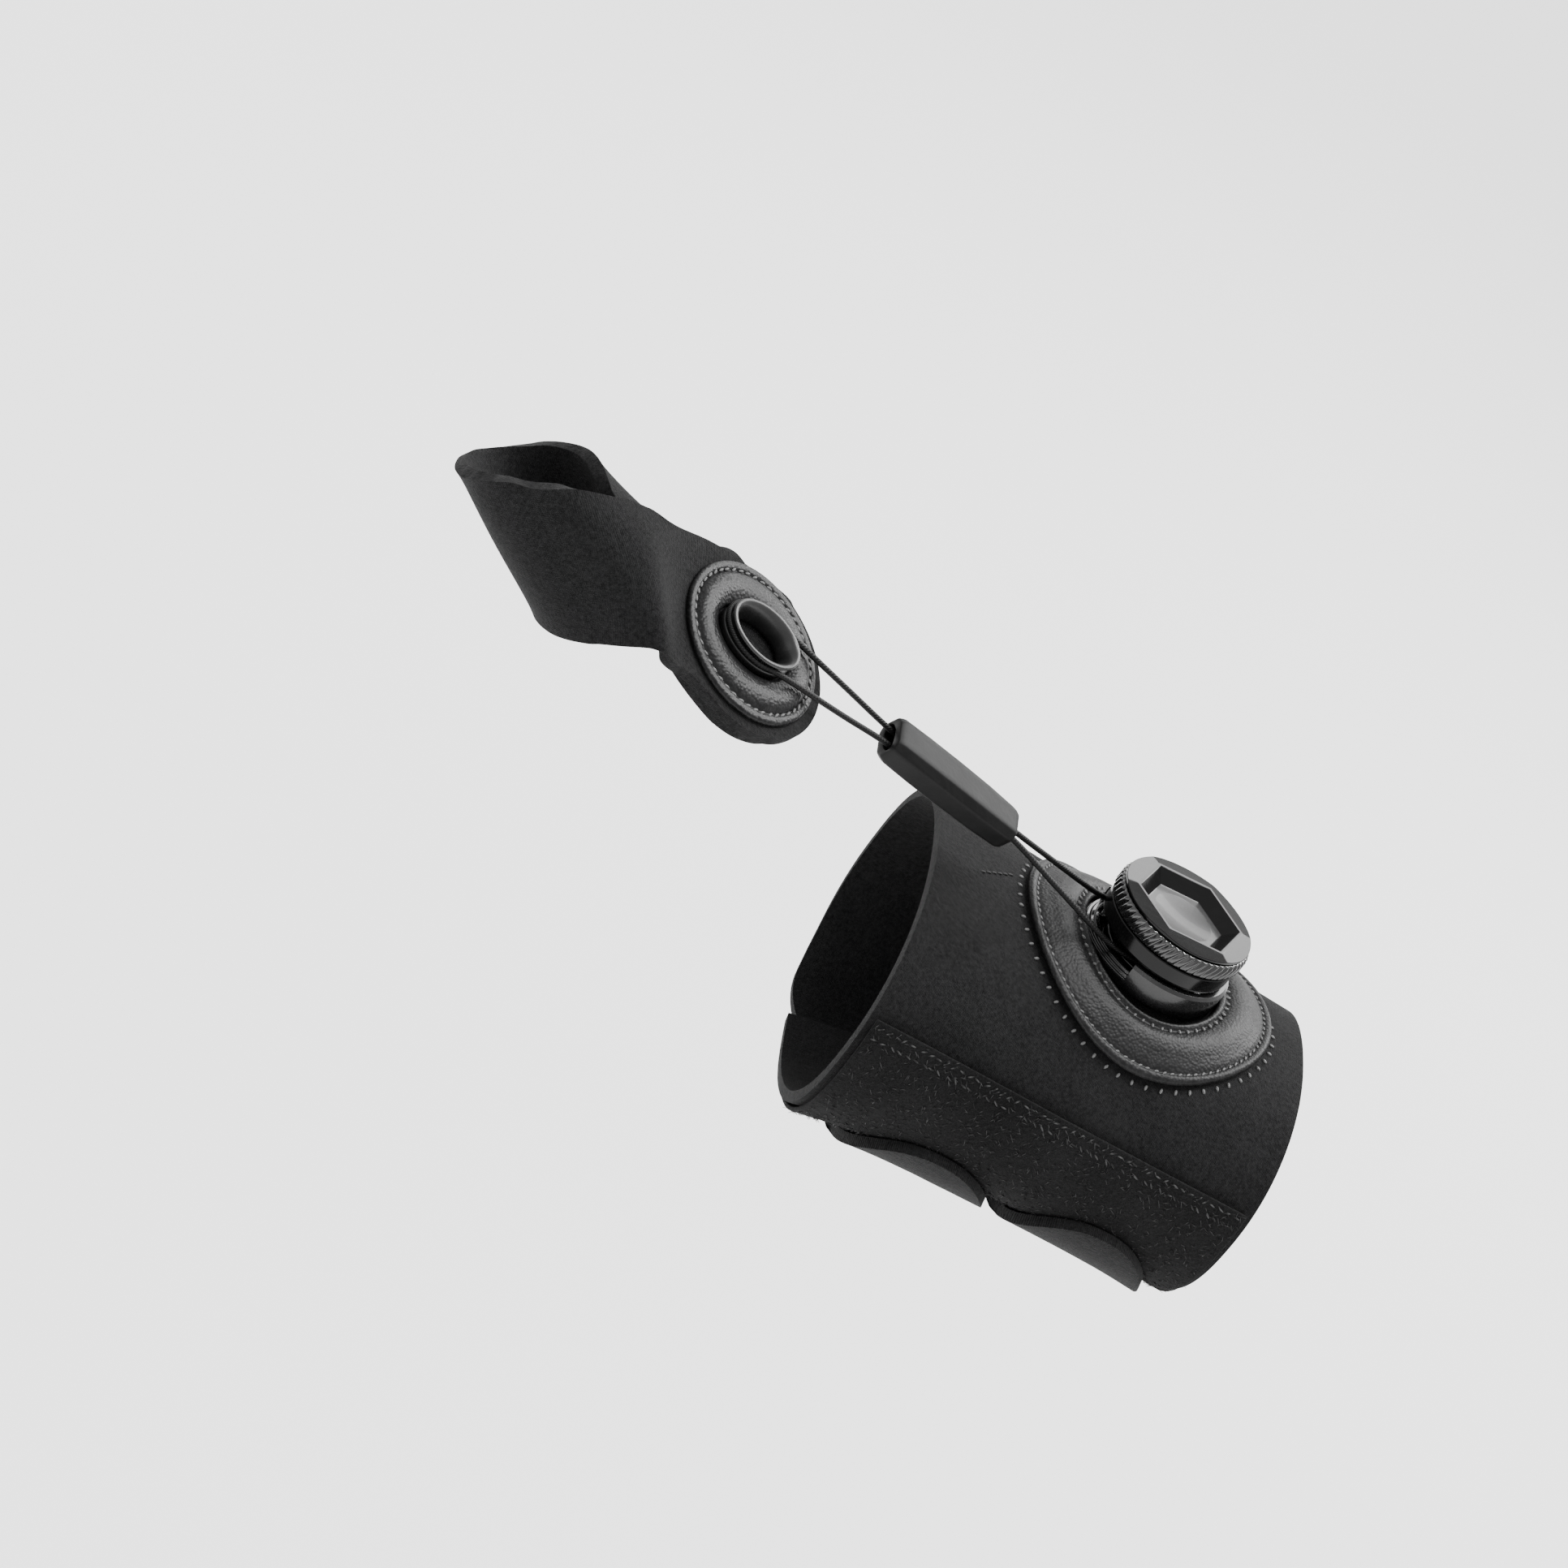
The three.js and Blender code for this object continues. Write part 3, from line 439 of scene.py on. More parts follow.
class Graph:
    """Small writer of a material's node graph."""

    def __init__(self, name: str) -> None:
        """Starts a material that holds only its shader.

        Args:
            name: the material's name.
        """
        self.material = bpy.data.materials.new(name)
        self.material.use_nodes = True
        self.tree = self.material.node_tree
        self.shader = self.tree.nodes["Principled BSDF"]
        self.column = 0

    def add(self, kind: str, settings: dict[str, object] | None = None,
            **inputs: object) -> bpy.types.Node:
        """Adds a node.

        Args:
            kind: the node's type.
            settings: its own properties by name.
            inputs: its sockets by name, with values or links.

        Returns:
            The node.
        """
        node = self.tree.nodes.new(kind)
        self.column += 1
        node.location = (-200 * self.column, 0)
        for key, value in (settings or {}).items():
            setattr(node, key, value)
        for key, value in inputs.items():
            self.feed(node, key.replace("_", " "), value)
        return node

    def feed(self, node: bpy.types.Node, socket: str | int, value: object) -> None:
        """Sets or links a socket.

        Args:
            node: the node.
            socket: its socket's name or place.
            value: a number or colour, or another node's socket to link.
        """
        target = node.inputs[socket]
        if isinstance(value, bpy.types.NodeSocket):
            self.tree.links.new(value, target)
        else:
            target.default_value = value

    def math(self, operation: str, *values: object) -> bpy.types.NodeSocket:
        """Adds a math node.

        Args:
            operation: what it works out.
            values: its numbers or links.

        Returns:
            Its result.
        """
        node = self.add("ShaderNodeMath", {"operation": operation})
        for k, value in enumerate(values):
            self.feed(node, k, value)
        return node.outputs[0]

    def coords(self, own_map: bool,
               scale: float | tuple[float, float, float]) -> bpy.types.NodeSocket:
        """Adds scaled coordinates.

        Args:
            own_map: the piece's own map in millimetres instead of object coordinates.
            scale: one scale, or one for each direction.

        Returns:
            The coordinates.
        """
        source = self.add("ShaderNodeTexCoord").outputs["UV" if own_map else "Object"]
        three = (scale,) * 3 if isinstance(scale, (int, float)) else scale
        return self.add("ShaderNodeMapping", Vector=source, Scale=three).outputs["Vector"]

    def noise(self, at: bpy.types.NodeSocket, **inputs: float) -> bpy.types.NodeSocket:
        """Adds a noise texture, with sockets by name, and gives its value."""
        return self.add("ShaderNodeTexNoise", Vector=at, **{"Scale": 1.0, **inputs}).outputs["Fac"]

    def bands(self, at: bpy.types.NodeSocket, way: str, **inputs: float) -> bpy.types.NodeSocket:
        """Adds even bands across a direction, with sockets by name, and gives their value."""
        settings = {"wave_type": "BANDS", "bands_direction": way}
        return self.add("ShaderNodeTexWave", settings, Vector=at, **inputs).outputs["Fac"]

    def cells(self, at: bpy.types.NodeSocket, **inputs: float) -> bpy.types.NodeSocket:
        """Adds rounded cells, with sockets by name, and gives the distance from their middles."""
        node = self.add("ShaderNodeTexVoronoi", {"feature": "SMOOTH_F1"}, Vector=at, **inputs)
        return node.outputs["Distance"]

    def blend(self, one: bpy.types.NodeSocket, share: float, two: bpy.types.NodeSocket,
              rest: float) -> bpy.types.NodeSocket:
        """Adds a share of one value to another share of a second value."""
        parts = (self.math("MULTIPLY", *pair) for pair in ((one, share), (two, rest)))
        return self.math("ADD", *parts)

    def ramp(self, factor: bpy.types.NodeSocket, low: float, high: float,
             dark: tuple[float, ...], light: tuple[float, ...]) -> bpy.types.NodeSocket:
        """Adds a colour ramp.

        Args:
            factor: what the colour follows.
            low: factor at which it is dark.
            high: factor at which it is light.
            dark: the dark colour.
            light: the light colour.

        Returns:
            The colour.
        """
        node = self.add("ShaderNodeValToRGB", Fac=factor)
        first, last = node.color_ramp.elements
        first.position, last.position = low, high
        first.color, last.color = (*dark, 1), (*light, 1)
        return node.outputs["Color"]

    def bump(self, height: bpy.types.NodeSocket, distance: float, strength: float,
             before: bpy.types.NodeSocket | None = None) -> bpy.types.NodeSocket:
        """Adds a bump.

        Args:
            height: its height.
            distance: how high, in metres.
            strength: how strong, from 0 to 1.
            before: another bump's normal under it.

        Returns:
            The normal.
        """
        node = self.add("ShaderNodeBump", Height=height, Distance=distance, Strength=strength)
        if before is not None:
            self.feed(node, "Normal", before)
        return node.outputs["Normal"]

    def range(self, value: bpy.types.NodeSocket, low: float, high: float) -> bpy.types.NodeSocket:
        """Spreads a value from 0 to 1 over low to high."""
        node = self.add("ShaderNodeMapRange", Value=value, To_Min=low, To_Max=high)
        return node.outputs["Result"]

    def finish(self, **inputs: object) -> bpy.types.Material:
        """Sets the shader.

        Args:
            inputs: its sockets by name, with values or links.

        Returns:
            The finished material.
        """
        for key, value in inputs.items():
            self.feed(self.shader, key.replace("_", " "), value)
        return self.material


@dataclass(frozen=True)
class ClothFinish:
    """Knit-faced neoprene."""

    name: str = "neoprene"
    dark: tuple[float, float, float] = (0.0015, 0.0015, 0.0016)
    light: tuple[float, float, float] = (0.0150, 0.0150, 0.0153)
    stitch: float = 0.45
    sheen: float = 0.05
    grain_scale: float = 1500.0
    mottle_scale: float = 90.0

    def make(self) -> bpy.types.Material:
        """Black cloth with fine knit rows, soft mottling and a faint sheen.

        Returns:
            The material.
        """
        g = Graph(self.name)
        knit = g.coords(True, (1 / self.stitch, 1 / self.stitch, 1))
        rows, wales = (g.bands(knit, way, Scale=0.5, Distortion=0.9, Detail=1.0) for way in "XY")
        grain = g.noise(g.coords(False, self.grain_scale), Detail=4.0, Roughness=0.8)
        mottle = g.noise(g.coords(False, self.mottle_scale), Detail=3.0)
        tone = g.blend(grain, 0.78, mottle, 0.22)
        fine = g.bump(g.math("MULTIPLY", rows, wales), 0.00018, 0.6)
        coarse = g.bump(grain, 0.00040, 0.9, fine)
        return g.finish(
            Base_Color=g.ramp(tone, 0.38, 0.64, self.dark, self.light),
            Roughness=g.range(mottle, 0.86, 0.98),
            Specular_IOR_Level=0.12,
            Sheen_Weight=self.sheen,
            Sheen_Roughness=0.45,
            Normal=g.bump(mottle, 0.0012, 0.25, coarse),
        )


@dataclass(frozen=True)
class PileFinish:
    """Brushed loop pile."""

    name: str = "loop_pile"
    dark: tuple[float, float, float] = (0.0015, 0.0015, 0.0015)
    light: tuple[float, float, float] = (0.024, 0.024, 0.0245)
    loop_scale: float = 1.5
    fibre_scale: float = 3.2
    worn_scale: float = 60.0

    def make(self) -> bpy.types.Material:
        """Matted fibres with painted shade: darker in the hollows of the fibres' bump, paler on the
        loops over them.

        Returns:
            The material.
        """
        g = Graph(self.name)
        at = g.coords(True, 1.0)
        loops = g.cells(at, Scale=self.loop_scale, Randomness=1.0)
        fibres = g.noise(at, Scale=self.fibre_scale, Detail=4.0, Roughness=0.75, Distortion=1.6)
        worn = g.noise(g.coords(False, self.worn_scale), Detail=2.0)
        # Painted shade: the colour follows the fibre noise that also raises the bump, darker in its
        # hollows; the worn noise adds random tone.
        tuft = g.blend(fibres, 0.85, worn, 0.22)
        first = g.bump(g.math("MULTIPLY", loops, -1.0), 0.0003, 0.5)
        return g.finish(
            Base_Color=g.ramp(tuft, 0.46, 0.82, self.dark, self.light),
            Roughness=0.96,
            Specular_IOR_Level=0.08,
            Sheen_Weight=0.04,
            Sheen_Roughness=0.5,
            Normal=g.bump(fibres, 0.0005, 0.8, first),
        )


@dataclass(frozen=True)
class LeatherFinish:
    """Pebbled leatherette."""

    name: str = "patch_leather"
    dark: tuple[float, float, float] = (0.002, 0.002, 0.0021)
    light: tuple[float, float, float] = (0.010, 0.010, 0.0102)
    pebble_scale: float = 2000.0
    wrinkle_scale: float = 420.0
    polish_scale: float = 110.0
    roughness: tuple[float, float] = (0.38, 0.56)

    def make(self) -> bpy.types.Material:
        """Fine pebbles with painted shade, darker in the creases between them, and an uneven satin.

        Returns:
            The material.
        """
        g = Graph(self.name)
        cell = g.cells(g.coords(False, self.pebble_scale), Scale=1.0, Smoothness=0.6)
        wrinkle = g.noise(g.coords(False, self.wrinkle_scale), Detail=4.0, Roughness=0.65)
        polish = g.noise(g.coords(False, self.polish_scale), Detail=2.0)
        # Painted shade: the colour darkens toward the pebbles' edges and in the wrinkles' low
        # places, where the bumps sink.
        tone = g.math("SUBTRACT", g.math("ADD", wrinkle, 0.18), g.math("MULTIPLY", cell, 0.35))
        pebbles = g.bump(g.math("MULTIPLY", cell, -1.0), 0.00016, 0.55)
        return g.finish(
            Base_Color=g.ramp(tone, 0.3, 0.72, self.dark, self.light),
            Roughness=g.range(polish, *self.roughness),
            Specular_IOR_Level=0.22,
            Normal=g.bump(wrinkle, 0.00022, 0.25, pebbles),
        )


@dataclass(frozen=True)
class PlasticFinish:
    """Moulded black plastic."""

    name: str
    color: tuple[float, float, float] = (0.0035, 0.0035, 0.0036)
    worn: tuple[float, float, float] = (0.008, 0.008, 0.0082)
    roughness: tuple[float, float] = (0.24, 0.36)
    texture: float = 2600.0
    depth: float = 0.00004
    coat: float = 0.0
    gloss: float = 0.3
    marks_scale: tuple[float, float, float] = (260.0, 900.0, 260.0)

    def make(self) -> bpy.types.Material:
        """Even black with a moulded grain, handling marks and slightly paler rubbed places.

        Returns:
            The material.
        """
        g = Graph(self.name)
        grain = g.noise(g.coords(False, self.texture), Detail=2.0)
        marks = g.noise(g.coords(False, self.marks_scale), Detail=5.0, Roughness=0.7,
                        Distortion=0.4)
        first = g.bump(grain, self.depth, 0.35)
        return g.finish(
            Base_Color=g.ramp(marks, 0.45, 0.8, self.color, self.worn),
            Roughness=g.range(marks, *self.roughness),
            Specular_IOR_Level=self.gloss,
            Coat_Weight=self.coat,
            Coat_Roughness=0.08,
            Normal=g.bump(marks, 0.00008, 0.12, first),
        )


@dataclass(frozen=True)
class BraidFinish:
    """Braided lace or sewing thread."""

    name: str = "lace_nylon"
    dark: tuple[float, float, float] = (0.0008, 0.0008, 0.0008)
    light: tuple[float, float, float] = (0.004, 0.004, 0.0041)
    pitch: float = 0.9
    own_map: bool = True
    gloss: float = 0.2

    def make(self) -> bpy.types.Material:
        """Crossing strands with a waxy gloss.

        Returns:
            The material.
        """
        g = Graph(self.name)
        scale = 1 / self.pitch if self.own_map else 1000.0 / self.pitch
        at = g.coords(self.own_map, scale)
        one = g.bands(at, "DIAGONAL", Scale=1.0, Distortion=0.3)
        fuzz = g.noise(at, Scale=3.0, Detail=3.0)
        # The colour follows the strands' bump, paler on their crests; where the light colour is
        # pale, as on the sewing thread, that is painted highlight.
        strand = g.blend(one, 0.7, fuzz, 0.3)
        return g.finish(
            Base_Color=g.ramp(strand, 0.25, 0.85, self.dark, self.light),
            Roughness=g.range(fuzz, 0.38, 0.6),
            Specular_IOR_Level=self.gloss,
            Normal=g.bump(strand, 0.00008, 0.8),
        )


@dataclass(frozen=True)
class FloorFinish:
    """Plain pale floor."""

    name: str = "floor"
    tone: float = 0.95

    def make(self) -> bpy.types.Material:
        """Nearly white, with the faintest mottling.

        Returns:
            The material.
        """
        g = Graph(self.name)
        mottle = g.noise(g.coords(False, 3.0), Detail=2.0)
        low, high = self.tone - 0.01, self.tone + 0.01
        return g.finish(Base_Color=g.ramp(mottle, 0.3, 0.7, (low,) * 3, (high,) * 3),
                        Roughness=0.9)


@dataclass
class Finishes:
    """Every finish of the splint, made once."""

    neoprene: bpy.types.Material = field(init=False)
    pile: bpy.types.Material = field(init=False)
    leather: bpy.types.Material = field(init=False)
    disc: bpy.types.Material = field(init=False)
    satin: bpy.types.Material = field(init=False)
    gloss: bpy.types.Material = field(init=False)
    grip: bpy.types.Material = field(init=False)
    recess: bpy.types.Material = field(init=False)
    tube: bpy.types.Material = field(init=False)
    lace: bpy.types.Material = field(init=False)
    thread: bpy.types.Material = field(init=False)
    fibre: bpy.types.Material = field(init=False)

    def __post_init__(self) -> None:
        """Makes the materials."""
        self.neoprene = ClothFinish().make()
        self.pile = PileFinish().make()
        self.leather = LeatherFinish().make()
        self.disc = LeatherFinish("disc_leather", roughness=(0.27, 0.5)).make()
        self.satin = PlasticFinish("base_plastic", roughness=(0.16, 0.26), coat=0.3,
                                   gloss=0.4).make()
        self.gloss = PlasticFinish("knob_plastic", (0.002,) * 3, (0.004,) * 3, (0.09, 0.17),
                                   900.0, 0.00001, gloss=0.22).make()
        self.grip = PlasticFinish("grip_plastic", (0.004,) * 3, (0.009,) * 3, (0.1, 0.2),
                                  1500.0, 0.00002, 0.5, 0.6).make()
        self.tube = PlasticFinish("spacer_plastic", (0.001,) * 3, (0.004,) * 3, (0.42, 0.6),
                                  1400.0, 0.00006, gloss=0.18).make()
        # Paler copy of the knob plastic for the recess floor and the lace guide: its paler colour
        # is painted reflection of the softboxes, its broader gloss is real.
        self.recess = PlasticFinish("knob_plastic_painted_reflection", (0.006,) * 3, (0.012,) * 3, (0.33, 0.42),
                                    1800.0, 0.00002, 0.15, 0.5).make()
        self.lace = BraidFinish().make()
        # Black thread painted paler on its strands, up to 0.17, as painted highlight for the glints
        # on the stitches; its gloss is real.
        self.thread = BraidFinish("sewing_thread_painted_glints", (0.03,) * 3, (0.17,) * 3, 0.35, False,
                                  0.6).make()
        self.fibre = BraidFinish("pile_fibre", (0.006,) * 3, (0.05,) * 3, 3.0, False).make()


def finish_piece(
    piece: bpy.types.Object, body: Body, slot: str, *materials: bpy.types.Material,
    replaces: Sequence[str] = (),
) -> bpy.types.Object:
    """Gives a piece its materials and body, and hides the nodes that it stands for.

    Args:
        piece: the object to finish.
        body: the body that it rides on.
        slot: the record's material slot; not used.
        materials: its materials in order.
        replaces: the nodes that it stands for.

    Returns:
        The same object.
    """
    for material in materials:
        piece.data.materials.append(material)
    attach(piece, body.value)
    if replaces:
        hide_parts(*replaces)
    log.info("%s: %d faces on %s", piece.name, len(piece.data.polygons), body.value)
    return piece


def soften(piece: bpy.types.Object, width: float, angle: float, segments: int = 2) -> None:
    """Bevels a piece's edges.

    Args:
        piece: the object.
        width: the bevel's width in millimetres.
        angle: the angle in degrees from which an edge is bevelled.
        segments: faces across the bevel.
    """
    edge = piece.modifiers.new("edges", "BEVEL")
    edge.width = width * MM
    edge.segments = segments
    edge.limit_method = "ANGLE"
    edge.angle_limit = math.radians(angle)


def thicken(piece: bpy.types.Object, thickness: float, round_edge: float) -> None:
    """Gives a sheet its thickness about its middle, with softened cut edges.

    Args:
        piece: the sheet's middle surface.
        thickness: the wall in millimetres.
        round_edge: how far its cut edges are rounded, in millimetres.
    """
    wall = piece.modifiers.new("thickness", "SOLIDIFY")
    wall.thickness = thickness * MM
    wall.offset = 0.0
    wall.use_even_offset = False
    soften(piece, round_edge, 50, 4)


def crease(mesh: bmesh.types.BMesh, angle: float) -> None:
    """Shades edges sharp from an angle in degrees."""
    for edge in mesh.edges:
        edge.smooth = edge.calc_face_angle(0.0) < math.radians(angle)


def carried(node: str, body: Body, slot: str, material: bpy.types.Material) -> None:
    """Finer copy of a node: merged, shaded smooth up to an angle, with softened edges.

    Args:
        node: the node to copy.
        body: the body that it rides on.
        slot: its material slot.
        material: its material.
    """
    sharp = 30.0
    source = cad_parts[node]
    mesh = bmesh.new()
    mesh.from_mesh(source.data)
    bmesh.ops.remove_doubles(mesh, verts=mesh.verts, dist=2e-6)
    bmesh.ops.dissolve_limit(mesh, angle_limit=math.radians(1.0), verts=mesh.verts,
                             edges=mesh.edges)
    crease(mesh, sharp)
    piece = Weaver.keep(f"{node}_finished", mesh)
    soften(piece, 0.18, sharp)
    finish_piece(piece, body, slot, material, replaces=[node])


@dataclass
class Studio:
    """Camera, lights and floor."""

    location: tuple[float, float, float] = (-0.202308, -0.576046, 0.348163)
    right: tuple[float, float, float] = (0.8532, 0.0882, 0.5141)
    up: tuple[float, float, float] = (-0.4800, 0.5186, 0.7076)
    back: tuple[float, float, float] = (-0.2042, -0.8505, 0.4848)
    lens: float = 93.91
    floor_level: float = -0.4
    floor_half: float = 4.0
    # what the lamps point at
    aim: tuple[float, float, float] = (-0.04, -0.01, 0.02)
    # name, place, width, height and watts
    lamps: tuple[tuple[str, tuple[float, float, float], float, float, float], ...] = (
        ("strip_back", (0.40, 1.30, 0.72), 0.9, 0.32, 6.0),
        ("strip_right", (0.95, 1.05, 0.62), 0.5, 0.45, 8.0),
        ("overhead", (0.0, -0.25, 1.5), 0.35, 0.35, 14.0),
        ("fill", (-1.1, -0.9, 0.5), 0.9, 0.9, 1.5),
    )
    sun_strength: float = 5.0
    sun_spread: float = 40.0
    sun_direction: tuple[float, float, float] = (-0.42, -0.30, -0.86)

    def build_camera(self) -> None:
        """Camera at the photograph's angle."""
        data = bpy.data.cameras.new("camera")
        data.lens = self.lens
        data.sensor_width = 36.0
        data.clip_end = 50.0
        camera = bpy.data.objects.new("camera", data)
        axes = Matrix((self.right, self.up, self.back)).transposed().to_4x4()
        camera.matrix_world = Matrix.Translation(self.location) @ axes
        bpy.context.scene.collection.objects.link(camera)
        bpy.context.scene.camera = camera

    def hang(self, data: bpy.types.Light, place: Sequence[float], look: Vector) -> None:
        """Hangs a light.

        Args:
            data: the light.
            place: where it hangs.
            look: the direction in which it shines.
        """
        lamp = bpy.data.objects.new(data.name, data)
        lamp.location = place
        lamp.rotation_euler = look.to_track_quat("-Z", "Y").to_euler()
        bpy.context.scene.collection.objects.link(lamp)

    def build_lights(self) -> None:
        """Broad soft sun from the upper right, and softboxes that the gloss picks up."""
        sun = bpy.data.lights.new("sun", "SUN")
        sun.energy = self.sun_strength
        sun.angle = math.radians(self.sun_spread)
        self.hang(sun, (0, 0, 0), Vector(self.sun_direction))
        for name, place, width, height, watts in self.lamps:
            box = bpy.data.lights.new(name, "AREA")
            box.shape = "RECTANGLE"
            box.size, box.size_y, box.energy = width, height, watts
            self.hang(box, place, Vector(self.aim) - Vector(place))
        world = bpy.data.worlds.new("pale_room")
        world.use_nodes = True
        sky = world.node_tree.nodes["Background"]
        sky.inputs["Color"].default_value = (1.0, 1.0, 1.0, 1.0)
        sky.inputs["Strength"].default_value = 1.0
        bpy.context.scene.world = world

    def build_floor(self) -> None:
        """Plain pale floor well below the part."""
        mesh = bmesh.new()
        bmesh.ops.create_grid(mesh, x_segments=8, y_segments=8, size=self.floor_half)
        bmesh.ops.translate(mesh, vec=(0, 0, self.floor_level), verts=mesh.verts)
        floor = Weaver.keep("floor", mesh)
        floor.data.materials.append(FloorFinish().make())

    def build(self) -> None:
        """Makes the whole studio."""
        self.build_camera()
        self.build_lights()
        self.build_floor()


@dataclass
class Lacing:
    """The lace, its guide and its spacer."""

    finishes: Finishes
    diameter: float = 1.0
    sides: int = 12
    # from the far side of the spool through the spacer, round the guide and back
    route: tuple[tuple[float, float, float], ...] = (
        (4.0, 7.3, 27.6), (-1.5, 6.7, 27.7), (-5.6, 5.3, 28.2), (-8.4, 3.8, 29.0),
        (-19.5, -2.1, 33.4), (-31.3, -8.2, 38.2), (-45.9, -11.4, 42.4), (-58.6, -14.2, 46.2),
        (-68.5, -15.5, 49.4), (-83.4, -17.2, 54.2), (-86.8, -17.5, 55.3), (-89.9, -18.7, 55.9),
        (-91.7, -20.4, 56.0), (-92.7, -22.3, 55.9), (-92.9, -24.1, 55.4), (-92.3, -25.7, 54.8),
        (-90.8, -26.9, 53.9), (-88.6, -27.6, 52.9), (-85.3, -27.4, 51.9), (-82.1, -26.0, 51.3),
        (-67.7, -20.6, 47.6), (-58.1, -17.0, 45.2), (-45.6, -13.6, 41.7), (-31.1, -9.7, 37.7),
        (-18.9, -8.9, 33.3), (-6.7, -8.1, 28.8), (-4.5, -7.9, 28.2), (-0.6, -7.7, 27.7),
        (5.5, -7.3, 27.6),
    )
    guide_half: tuple[float, float] = (7.4, 5.4)
    guide_hole: tuple[float, float] = (5.2, 3.2)
    spacer_length: float = 29.0
    spacer_half: tuple[float, float] = (3.9, 3.0)
    spacer_bore: tuple[float, float] = (2.7, 1.3)
    spacer_place: float = 0.453
    spool: tuple[float, float, float] = (5.0, 0.0, 27.67)
    disc_lift: float = 4.6
    groove_level: float = 2.7

    @property
    def pull(self) -> Vector:
        """Direction of the lace's pull from the guide to the spool."""
        return (Vector(self.spool) - self.groove).normalized()

    @property
    def groove(self) -> Vector:
        """Middle of the guide's groove."""
        return LIMB.pad_point(0, 0, self.disc_lift + self.groove_level)

    def centreline(self) -> list[Vector]:
        """Smooths the route.

        Returns:
            Close points of a smooth line through it, in millimetres.
        """
        points = [Vector(p) for p in self.route]
        points = [points[0] * 2 - points[1], *points, points[-1] * 2 - points[-2]]
        line: list[Vector] = []
        for k in range(1, len(points) - 2):
            p0, p1, p2, p3 = points[k - 1:k + 3]
            t1 = (p1 - p0).length ** 0.5
            t2 = t1 + (p2 - p1).length ** 0.5
            t3 = t2 + (p3 - p2).length ** 0.5
            steps = max(4, round((p2 - p1).length / 0.8))
            for i in range(steps):
                t = t1 + (t2 - t1) * i / steps
                a = p0.lerp(p1, t / t1)
                b = p1.lerp(p2, (t - t1) / (t2 - t1))
                c = p2.lerp(p3, (t - t2) / (t3 - t2))
                d = a.lerp(b, t / t2)
                e = b.lerp(c, (t - t1) / (t3 - t1))
                line.append(d.lerp(e, (t - t1) / (t2 - t1)))
        line.append(Vector(self.route[-1]))
        return line

    def build_lace(self, spacer: bpy.types.Object) -> None:
        """One length of round lace along its route.

        Args:
            spacer: the tube that rides on it; not used.
        """
        line = self.centreline()
        run = [0.0]
        for a, b in zip(line, line[1:]):
            run.append(run[-1] + (b - a).length)
        frames = []
        side = Vector((0, 0, 1))
        for k in range(len(line)):
            along = (line[min(k + 1, len(line) - 1)] - line[max(k - 1, 0)]).normalized()
            side = (side - along * side.dot(along)).normalized()
            frames.append((side, along.cross(side)))

        def place(u: float, v: float) -> Vector:
            """Point of the lace's surface.

            Args:
                u: share of the route.
                v: share of the way round the lace.

            Returns:
                The point.
            """
            k = round(u * (len(line) - 1))
            angle = 2 * math.pi * (v % 1.0)
            one, two = frames[k]
            out = one * math.cos(angle) + two * math.sin(angle)
            return line[k] + out * self.diameter / 2

        mesh = Weaver.bend(len(line) - 1, self.sides, place, (run[-1], math.pi * self.diameter))
        lace = Weaver.keep("lace_braid", Weaver.close(mesh))
        finish_piece(lace, Body.BRACE, "lace_nylon", self.finishes.lace, replaces=["lace"])
        log.info("lace length %.1f mm", run[-1])

    def build_guide(self) -> None:
        """Glossy oval eyelet with a groove round its outside and a flared mouth."""
        normal = LIMB.pad_axes[2]
        along = (self.pull - normal * self.pull.dot(normal)).normalized()
        across = normal.cross(along)
        seat = LIMB.pad_point(0, 0, self.disc_lift)
        wall = self.guide_half[0] - self.guide_hole[0]
        # share of the wall out from the hole, and height
        profile = (
            (0.0, 0.0), (0.5, 0.0), (1.0, 0.0), (1.0, 0.8), (1.0, 1.7), (0.93, 1.88), (0.6, 1.98),
            (0.5, 2.1), (0.5, 2.7), (0.5, 3.3), (0.6, 3.42), (0.93, 3.52), (1.0, 3.72),
            (0.96, 4.0), (0.84, 4.16), (0.68, 4.1), (0.48, 3.7), (0.3, 3.05), (0.14, 2.1),
            (0.0, 1.0),
        )

        def place(angle: float, row: int) -> Vector:
            """Point of the eyelet.

            Args:
                angle: angle round it in radians.
                row: row of its profile.

            Returns:
                The point.
            """
            share, height = profile[row]
            inset = wall * (1 - share)
            return (seat + along * (self.guide_half[0] - inset) * math.cos(angle)
                    + across * (self.guide_half[1] - inset) * math.sin(angle) + normal * height)

        guide = Weaver.ring("lace_guide_eyelet", 96, len(profile), place, (40.0, 14.0))
        fine = guide.modifiers.new("smooth", "SUBSURF")
        fine.levels = fine.render_levels = 1
        # The guide takes the paler plastic, whose paler colour is painted reflection on its rim.
        finish_piece(guide, Body.BRACE, "knob_plastic", self.finishes.recess,
                     replaces=["lace_guide"])

    def build_spacer(self) -> bpy.types.Object:
        """Faceted tube round both strands, slightly slimmer toward the dial.

        Returns:
            The tube.
        """
        normal = LIMB.pad_axes[2]
        across = normal.cross(self.pull).normalized()
        up = self.pull.cross(across)
        middle = self.groove.lerp(Vector(self.spool), self.spacer_place)
        end = self.spacer_length / 2
